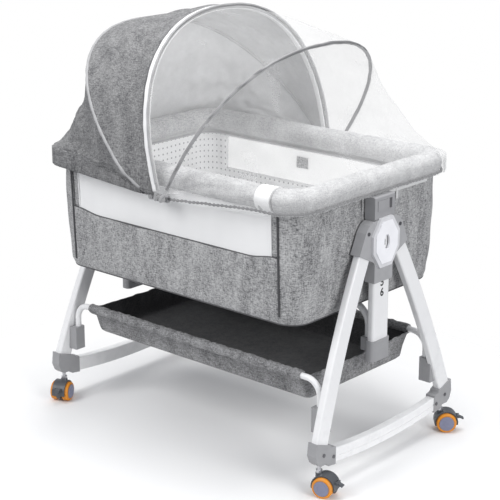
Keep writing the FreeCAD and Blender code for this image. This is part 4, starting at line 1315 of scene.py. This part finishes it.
    def build_net(self) -> list[bpy.types.Object]:
        """The sheer net from the hood to the foot end."""
        middle = self.sheet_piece("net_top", self.span_grid(self.front, self.far, 0.016, 0.0025, 91),
                                  self.palette.net, 0.0)
        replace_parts(middle, "net_middle")
        end = self.sheet_piece("net_foot", self.end_grid(End.FOOT, self.far, 0.020, 0.003, 0.0022, 101),
                               self.palette.net, 0.0)
        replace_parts(end, "net_end")
        return [middle, end]

    def join_bodies(self, hood: list[bpy.types.Object], net: list[bpy.types.Object]) -> None:
        """Writes the cloths' places into their meshes, and hangs the net's foot end on the net's bow with a
        mesh of its own.
        """
        away = -self.rear.normal()
        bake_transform(hood[0])
        spans = ((hood[1], ("canopy_rear", "canopy_front"), self.rear, self.front, 0.07),
                 (net[0], ("canopy_front", "net_frame"), self.front, self.far, 0.08))
        for piece, bodies, a, b, width in spans:
            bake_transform(piece)
        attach(net[1], "net_frame")
        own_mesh(net[1], "net_fold", axis=self.far.normal(),
                  anchor=Vector((self.far.pivot_x, 0.0, self.far.pivot_z)), keep=0.16)

    def build_bindings(self) -> list[bpy.types.Object]:
        """Sleeves and tapes along the bows."""
        p, out = self.palette, self.rod + self.lift + 0.0012
        return [
            self.sleeve("rear_bow_piping", self.rear, 0.0042, p.pale_tape, "canopy_rear", 0.0, 0.0025),
            self.strip("front_bow_binding", self.front, (-0.011, -0.001), out, p.grey_tape, "canopy_front"),
            self.strip("front_bow_white_band", self.front, (-0.001, 0.010), out + 0.0004, p.white_tape,
                       "canopy_front"),
            self.sleeve("front_bow_edge", self.front, 0.0026, p.pale_tape, "canopy_front", 0.012, 0.0035),
            self.strip("front_bow_inner_band", self.front, (-0.005, 0.009), -self.rod - 0.0022, p.white_tape,
                       "canopy_front"),
            self.sleeve("net_bow_sleeve", self.far, 0.0043, p.net_tape, "net_frame"),
        ]

    def build_hem(self) -> bpy.types.Object:
        """The elastic hem under the roll, which dips towards the clips."""
        half_x, half_y = self.hem_half
        flat = rounded_rectangle(half_x, half_y, self.hem_corner, np.linspace(-1, 1, 240),
                                 np.linspace(-1, 1, 150), 40)
        on_side = np.abs(np.abs(flat[:, 1]) - half_y) < SAME_POINT
        dip = np.where(on_side, self.hem_dip * eased(ramp(np.abs(flat[:, 0]), self.hem_dip_run, 0)), 0.0)
        run = distances(flat)
        wobble = 0.0006 * waves(111, 9, 0.02, 0.06)(run, np.zeros_like(run))
        line = np.column_stack([flat, self.hem_z - dip + wobble])
        hem = tube("cover_hem_cord", line, 0.0029, self.palette.grey_tape, 10, True,
                   lambda along, angle: 0.0009 * np.sin(along * 2 * math.pi / self.hem_scallop))
        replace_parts(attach(hem, "cradle"), "cover_hem")
        return hem

    def build(self) -> int:
        """Builds the cover and says how many pieces it has."""
        hood, net = self.build_hood(), self.build_net()
        pieces = hood + net + self.build_bindings() + [self.build_hem()]
        self.join_bodies(hood, net)
        return len(pieces)


# ---- basket -----------------------------------------------------------------------------------------


@dataclass
class Basket:
    """The cloth basket that hangs between its two tubes."""

    palette: Palette
    tube_y: float = 0.207
    tube_z: float = 0.258
    sleeve_x: float = 0.350
    sleeve_r: float = 0.0118
    half_x: tuple[float, float] = (0.352, 0.360)
    half_y: tuple[float, float] = (0.182, 0.205)
    corner: float = 0.014
    floor_z: float = 0.190
    floor_round: float = 0.006
    wall: float = 0.0022
    bulge: float = 0.0035
    pucker: float = 0.0022
    sag: float = 0.008
    slump: float = 0.005

    def build_bag(self) -> bpy.types.Object:
        """The sagging tray of cloth."""
        along_x, along_y = np.linspace(-1, 1, 92), np.linspace(-1, 1, 52)
        rows = []
        for z in (0.190, 0.1915, 0.195, *np.linspace(0.202, 0.252, 12), 0.256):
            up = ramp(z, self.floor_z, self.tube_z)
            drawn = self.floor_round * (1 - ramp(z, self.floor_z, self.floor_z + self.floor_round))
            half_x, half_y = (low + (high - low) * up - drawn for low, high in (self.half_x, self.half_y))
            flat = rounded_rectangle(half_x, half_y, self.corner, along_x, along_y, 6)
            rows.append(np.column_stack([flat, np.full(len(flat), z)]))
        floor = [rows[0] * np.array([k, k, 1.0]) for k in (0.02, 0.2, 0.4, 0.6, 0.75, 0.88, 0.96)]
        grid = np.stack(floor + rows)
        field, fine = waves(121, 8, 0.07, 0.22), waves(122, 10, 0.02, 0.05)
        x, y, z = (grid[..., k].copy() for k in range(3))
        run = distances(rows[3])[None, :]
        high = ramp(z, self.floor_z, self.tube_z)
        none = np.zeros_like(x)
        side = np.abs(y) > np.abs(x) * 0.5
        inward = np.where(side[..., None], np.stack([none, -np.sign(y), none], -1),
                          np.stack([-np.sign(x), none, none], -1))
        lift = self.bulge * np.sin(math.pi * high) * (1.3 + field(run, z * 0.8))
        lift = lift + self.pucker * high * fine(run, z * 0.3)
        grid = grid + inward * lift[..., None]
        bay = np.clip(1 - (np.abs(x) / 0.35) ** 2, 0, 1) * np.clip(1 - (np.abs(y) / 0.18) ** 2, 0, 1)
        grid[..., 2] -= (self.sag - 0.0012 * field(x, y)) * bay
        at_end = np.clip(1 - (np.abs(y) / self.tube_y) ** 2, 0, 1) * high * (np.abs(x) > 0.33)
        grid[..., 2] -= self.slump * at_end
        columns = grid.shape[1]
        faces = grid_faces(len(grid), columns, False, True)
        faces.append(tuple(reversed(range(columns))))
        made = new_object("basket_cloth", grid, faces, self.palette.basket)
        # the inner face takes the darker melange, painted shade inside the basket
        thickened(made, self.wall, self.palette.basket_painted_shade)
        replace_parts(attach(made, "stand"), "storage_basket")
        return made

    def build_sleeves(self) -> list[bpy.types.Object]:
        """The gathered sleeves round the tubes."""
        made = []
        for side in Side:
            xs = np.linspace(-self.sleeve_x, self.sleeve_x, 300)
            line = np.array([[x, side.value * self.tube_y, self.tube_z] for x in xs])
            fine, slow = waves(131 + side.value, 12, 0.012, 0.03), waves(141, 6, 0.06, 0.15)
            sleeve = tube("basket_sleeve_" + side.name.lower(), line, self.sleeve_r, self.palette.basket, 16,
                          False, lambda run, angle: (0.0011 * fine(run, angle * 0.004)
                                                     + 0.0008 * slow(run, angle * 0.01)))
            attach(sleeve, "stand")
            made.append(sleeve)
        return made

    def build(self) -> int:
        """Builds the basket and says how many pieces it has."""
        self.build_bag()
        return 1 + len(self.build_sleeves())


# ---- rigid details ----------------------------------------------------------------------------------


@dataclass(frozen=True)
class Caster:
    """One caster: its name, where its swivel axis stands and which way its wheels trail."""

    name: str
    x: float
    y: float
    turn: float


@dataclass
class Casters:
    """The twin wheels with their orange tyres and grey caps."""

    palette: Palette
    radius: float = 0.025
    inner_y: float = 0.0056
    width: float = 0.019
    trail: float = 0.016
    tread: float = 0.0065
    tyre_edge: float = 0.0045
    cap_edge: float = 0.0012
    cap_depth: float = 0.0026
    cap_rings: tuple[tuple[float, float], ...] = ((0.0035, -0.0006), (0.0060, 0.0004), (0.0012, 0.0008),
                                                  (0.0012, 0.0))
    places: tuple[Caster, ...] = (
        Caster("front_right", 0.431, -0.240, 15.0), Caster("back_right", 0.431, 0.240, 41.0),
        Caster("front_left", -0.431, -0.240, -65.0), Caster("back_left", -0.431, 0.240, 165.0))

    def face_ring(self, mesh: bpy.types.Mesh, inset: float, out: float, facing: float) -> None:
        """Insets the end face that looks one way along y, and pushes it out or in."""
        bpy.ops.object.mode_set(mode="EDIT")
        bpy.ops.mesh.select_all(action="DESELECT")
        work = bmesh.from_edit_mesh(mesh)
        work.faces.ensure_lookup_table()
        ends = [f for f in work.faces if f.normal.y * facing > 0.99 and len(f.verts) > 8]
        outer = max(ends, key=lambda f: f.calc_center_median().y * facing)
        outer.select = True
        work.faces.active = outer
        bmesh.update_edit_mesh(mesh)
        bpy.ops.mesh.inset(thickness=inset, depth=0.0)
        bpy.ops.transform.translate(value=(0.0, out * facing, 0.0))
        bpy.ops.object.mode_set(mode="OBJECT")

    def disc(self, radius: float, depth: float, edge: float, segments: int) -> bpy.types.Object:
        """A round block along y with rounded edges."""
        bpy.ops.mesh.primitive_cylinder_add(vertices=72, radius=radius, depth=depth,
                                            rotation=(math.pi / 2, 0, 0))
        made = bevelled(settled(bpy.context.active_object), edge, segments)
        only(made)
        return made

    def model(self) -> tuple[bpy.types.Object, bpy.types.Object]:
        """One tyre and one cap at the middle of the caster, on the side of positive y."""
        tyre = self.disc(self.radius, self.width, self.tyre_edge, 5)
        for facing in (1.0, -1.0):
            self.face_ring(tyre.data, 0.0016, -0.0008, facing)
        cap = self.disc(self.radius - self.tread, self.cap_depth, self.cap_edge, 3)
        for inset, out in self.cap_rings:
            self.face_ring(cap.data, inset, out, 1.0)
        for piece in (tyre, cap):
            only(piece)
            bpy.ops.object.shade_smooth_by_angle(angle=math.radians(35))
        return tyre, cap

    def placed(self, source: bpy.types.Object, name: str, caster: Caster, side: float, offset: float,
               material: bpy.types.Material) -> bpy.types.Object:
        """A copy of a modelled piece at its wheel.

        Args:
            source: the tyre or the cap.
            name: the copy's name.
            caster: the caster it belongs to.
            side: 1 or -1, for the two wheels of the pair.
            offset: how far it stands from the wheel's middle.
            material: its finish.

        Returns:
            The copy.
        """
        made = source.copy()
        made.data = source.data.copy()
        made.name = name
        made.data.name = name
        bpy.context.scene.collection.objects.link(made)
        mid = self.inner_y + self.width / 2 + offset
        flip = Matrix.Identity(4) if side > 0 else Matrix.Rotation(math.pi, 4, "Z")
        turn = Matrix.Rotation(math.radians(caster.turn), 4, "Z")
        made.data.transform(Matrix.Translation((caster.x, caster.y, 0.0)) @ turn
                            @ Matrix.Translation((self.trail, side * mid, self.radius)) @ flip)
        return dressed(made, material)

    def build(self) -> int:
        """Builds eight wheels and says how many pieces they are."""
        tyre, cap = self.model()
        made = []
        for caster in self.places:
            for side, word in ((1.0, "a"), (-1.0, "b")):
                rubber = self.placed(tyre, f"tyre_{caster.name}_{word}", caster, side, 0.0, self.palette.tyre)
                disc = self.placed(cap, f"wheel_cap_{caster.name}_{word}", caster, side, self.width / 2,
                                   self.palette.cap_plastic)
                for piece, slot in ((rubber, "orange_tyre"), (disc, "dark_plastic")):
                    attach(piece, "wheels_" + caster.name)
                    made.append(piece)
            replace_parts(made[-4], "caster_wheels_" + caster.name)
        for source in (tyre, cap):
            bpy.data.objects.remove(source)
        return len(made)


@dataclass
class Details:
    """Level numbers, the plates behind the hubs' windows and the tab inside the back wall."""

    palette: Palette
    level_z: float = 0.546
    level_step: float = 0.025
    levels: int = 6
    face_x: float = 0.41802
    digit: float = 0.0265
    heavier: float = 0.0007
    proud: float = 0.00012
    window_x: float = 0.4213
    plate: tuple[float, float, float] = (0.0006, 0.0196, 0.0336)
    tab: tuple[float, float, float] = (-0.041, 0.2655, 0.607)

    def window_plate(self, end: End) -> list[bpy.types.Object]:
        """The white plate behind the button's window, with the level number that shows in it."""
        bpy.ops.mesh.primitive_cube_add(size=1.0)
        plate = bpy.context.active_object
        plate.name = "level_plate_" + end.name.lower()
        plate.scale = self.plate
        plate.location = (end.value * (self.window_x + 0.0003), 0.0, self.level_z)
        dressed(settled(plate), self.palette.white_paint)
        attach(plate, "stand")
        shown = self.number("1", end, self.level_z, self.window_x + 0.0007, "level_shown_", "stand")
        return [plate, shown]

    def wall_tab(self) -> bpy.types.Object:
        """A small fabric tab inside the back wall."""
        bpy.ops.mesh.primitive_grid_add(x_subdivisions=14, y_subdivisions=10, size=1.0)
        made = bpy.context.active_object
        made.name = "back_wall_tab"
        made.rotation_euler = (math.pi / 2, 0.0, 0.0)
        made.scale = (0.038, 0.030, 1.0)
        made.location = self.tab
        settled(made)
        for v in made.data.vertices:
            v.co.y -= 0.0012 + 0.0010 * math.sin(v.co.x * 160.0 + v.co.z * 60.0)
        thickened(dressed(made, self.palette.shell), 0.0012)
        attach(made, "cradle")
        return made

    def number(self, text: str, end: End, z: float, x: float, name: str, body: str) -> bpy.types.Object:
        """A plain number printed on a face across x.

        Args:
            text: the number.
            end: the end of the crib that it looks out of.
            z: height of its middle.
            x: how far from the crib's middle the face lies.
            name: the start of the piece's name.
            body: the body it rides on.

        Returns:
            The mesh object.
        """
        bpy.ops.object.text_add()
        words = bpy.context.active_object
        words.data.body = text
        words.data.size = self.digit
        words.data.extrude = self.proud
        words.data.offset = self.heavier
        words.data.align_x = "CENTER"
        words.data.align_y = "CENTER"
        only(words)
        bpy.ops.object.convert(target="MESH")
        made = bpy.context.active_object
        made.name = f"{name}{text}_{end.name.lower()}"
        turn = Matrix.Rotation(math.radians(90 * end.value), 4, "Z") @ Matrix.Rotation(math.pi / 2, 4, "X")
        made.data.transform(Matrix.Translation((end.value * x, 0.0, z)) @ turn)
        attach(dressed(made, self.palette.ink), body)
        return made

    def build(self) -> int:
        """Builds the numbers, plates and tab and says how many pieces there are."""
        made = []
        for end in End:
            for level in range(self.levels):
                z = self.level_z - self.level_step * level
                made.append(self.number(str(level + 1), end, z, self.face_x, "level_", "cradle"))
        for end in End:
            made += self.window_plate(end)
        return len(made + [self.wall_tab()])


@dataclass
class FrameLooks:
    """Finishes of the CAD nodes that stay."""

    palette: Palette

    def table(self) -> dict[str, tuple[bpy.types.Material, tuple[str, ...]]]:
        """Each finish with the starts of the names of its nodes."""
        p = self.palette
        return {
            "paint": (p.white_paint, ("leg_", "rocker_", "column_left", "column_right", "basket_tube_",
                                      "floor_bar")),
            "grey": (p.grey_plastic, ("corner_joints", "basket_brackets", "column_end_caps", "rim_connector_",
                                      "rim_latch_", "bow_clips")),
            "hub": (p.hub_plastic, ("hub_left", "hub_right")),
            "button": (p.pale_plastic, ("hub_button_",)),
            "hood": (p.hood_plastic, ("caster_hood_", "brake_lever_")),
            "steel": (p.steel, ("caster_stems", "rim_tube", "rail_tube")),
            "screws": (p.screw, ("frame_screws",)),
            "rod": (p.pale_tape, ("canopy_rear_bow", "canopy_front_bow", "net_bow")),
            "board": (p.board, ("floor_board",)),
            "zip": (p.zip, ("side_zippers",)),
            "white zip": (p.white_zip, ("end_zipper",)),
        }

    def build(self) -> int:
        """Paints the nodes and says how many there are."""
        count = 0
        for material, starts in self.table().values():
            for name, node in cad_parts.items():
                if name.startswith(starts) and not node.hide_render:
                    dressed(node, material)
                    count += 1
        return count


# ---- studio -----------------------------------------------------------------------------------------


@dataclass(frozen=True)
class Lamp:
    """A soft area light: where it stands, what it faces, its size and its power."""

    name: str
    place: tuple[float, float, float]
    size: float
    power: float


@dataclass
class Studio:
    """Camera, lights and the pale floor."""

    azimuth: float = 41.4
    elevation: float = 17.1
    distance: float = 3.7335
    lens: float = 108.0
    aim: tuple[float, float, float] = (0.0099, 0.0, 0.4407)
    behind: tuple[float, float, float, float] = (1.0, 1.0, 1.0, 1.0)
    around: tuple[float, float, float, float] = (0.93, 0.95, 1.0, 1.0)
    around_strength: float = 0.44
    floor_radius: float = 2.6
    floor_fade: tuple[float, float] = (0.54, 0.92)
    lamps: tuple[Lamp, ...] = (
        Lamp("key", (-1.0, -2.8, 2.6), 2.0, 70.0), Lamp("fill", (3.4, -0.6, 1.8), 1.8, 60.0),
        Lamp("top", (0.2, 0.4, 3.4), 2.2, 66.0), Lamp("back", (-2.6, 2.4, 2.0), 2.0, 18.0))

    def build_camera(self) -> None:
        """A long lens from the foot end of the bed side."""
        a, e = math.radians(self.azimuth), math.radians(self.elevation)
        back = Vector((math.sin(a) * math.cos(e), -math.cos(a) * math.cos(e), math.sin(e)))
        data = bpy.data.cameras.new("camera")
        data.lens, data.sensor_width = self.lens, 36.0
        data.clip_start, data.clip_end = 0.1, 50.0
        camera = bpy.data.objects.new("camera", data)
        camera.location = Vector(self.aim) + back * self.distance
        camera.rotation_euler = (-back).to_track_quat("-Z", "Y").to_euler()
        bpy.context.scene.collection.objects.link(camera)
        bpy.context.scene.camera = camera

    def build_lamps(self) -> None:
        """Soft lights that face the crib."""
        for lamp in self.lamps:
            data = bpy.data.lights.new(lamp.name, "AREA")
            data.shape, data.size, data.energy = "DISK", lamp.size, lamp.power
            made = bpy.data.objects.new(lamp.name, data)
            made.location = lamp.place
            made.rotation_euler = (Vector(self.aim) - Vector(lamp.place)).to_track_quat("-Z", "Y").to_euler()
            bpy.context.scene.collection.objects.link(made)

    def build_world(self) -> None:
        """White behind the crib, and a soft grey light all round."""
        world = bpy.data.worlds.new("studio")
        bpy.context.scene.world = world
        world.use_nodes = True
        tree = world.node_tree
        tree.nodes.clear()
        rays, seen, lit, either, both, out = (tree.nodes.new("ShaderNode" + kind) for kind in (
            "LightPath", "Background", "Background", "Math", "MixShader", "OutputWorld"))
        either.operation = "MAXIMUM"
        seen.inputs["Color"].default_value = self.behind
        lit.inputs["Color"].default_value = self.around
        lit.inputs["Strength"].default_value = self.around_strength
        for source, target in ((rays.outputs["Is Camera Ray"], either.inputs[0]),
                               (rays.outputs["Is Transmission Ray"], either.inputs[1]),
                               (either.outputs["Value"], both.inputs["Fac"]),
                               (lit.outputs["Background"], both.inputs[1]),
                               (seen.outputs["Background"], both.inputs[2]),
                               (both.outputs["Shader"], out.inputs["Surface"])):
            tree.links.new(source, target)

    def build_floor(self) -> None:
        """A round floor that fades out before it ends."""
        bpy.ops.mesh.primitive_circle_add(vertices=96, radius=self.floor_radius, fill_type="NGON")
        floor = bpy.context.active_object
        floor.name = "studio_floor"
        floor.data.materials.append(Floor("studio_floor", (0.9, 0.9, 0.9), *self.floor_fade).build())

    def build(self) -> None:
        """Sets the scene up."""
        self.build_camera()
        self.build_lamps()
        self.build_world()
        self.build_floor()
        bpy.context.scene.view_settings.view_transform = "Standard"


def main() -> None:
    """Builds everything in order."""
    logging.basicConfig(level=logging.INFO, format="%(message)s")
    palette = Palette()
    parts = (("frame finishes", FrameLooks(palette)), ("tub", Tub(TubShape(), palette)),
             ("rim", Rim(palette)), ("cover", Cover(palette)), ("basket", Basket(palette)),
             ("casters", Casters(palette)), ("details", Details(palette)))
    for name, part in parts:
        log.info("%s: %d pieces", name, part.build())
    Studio().build()


if __name__ == "__main__":
    main()
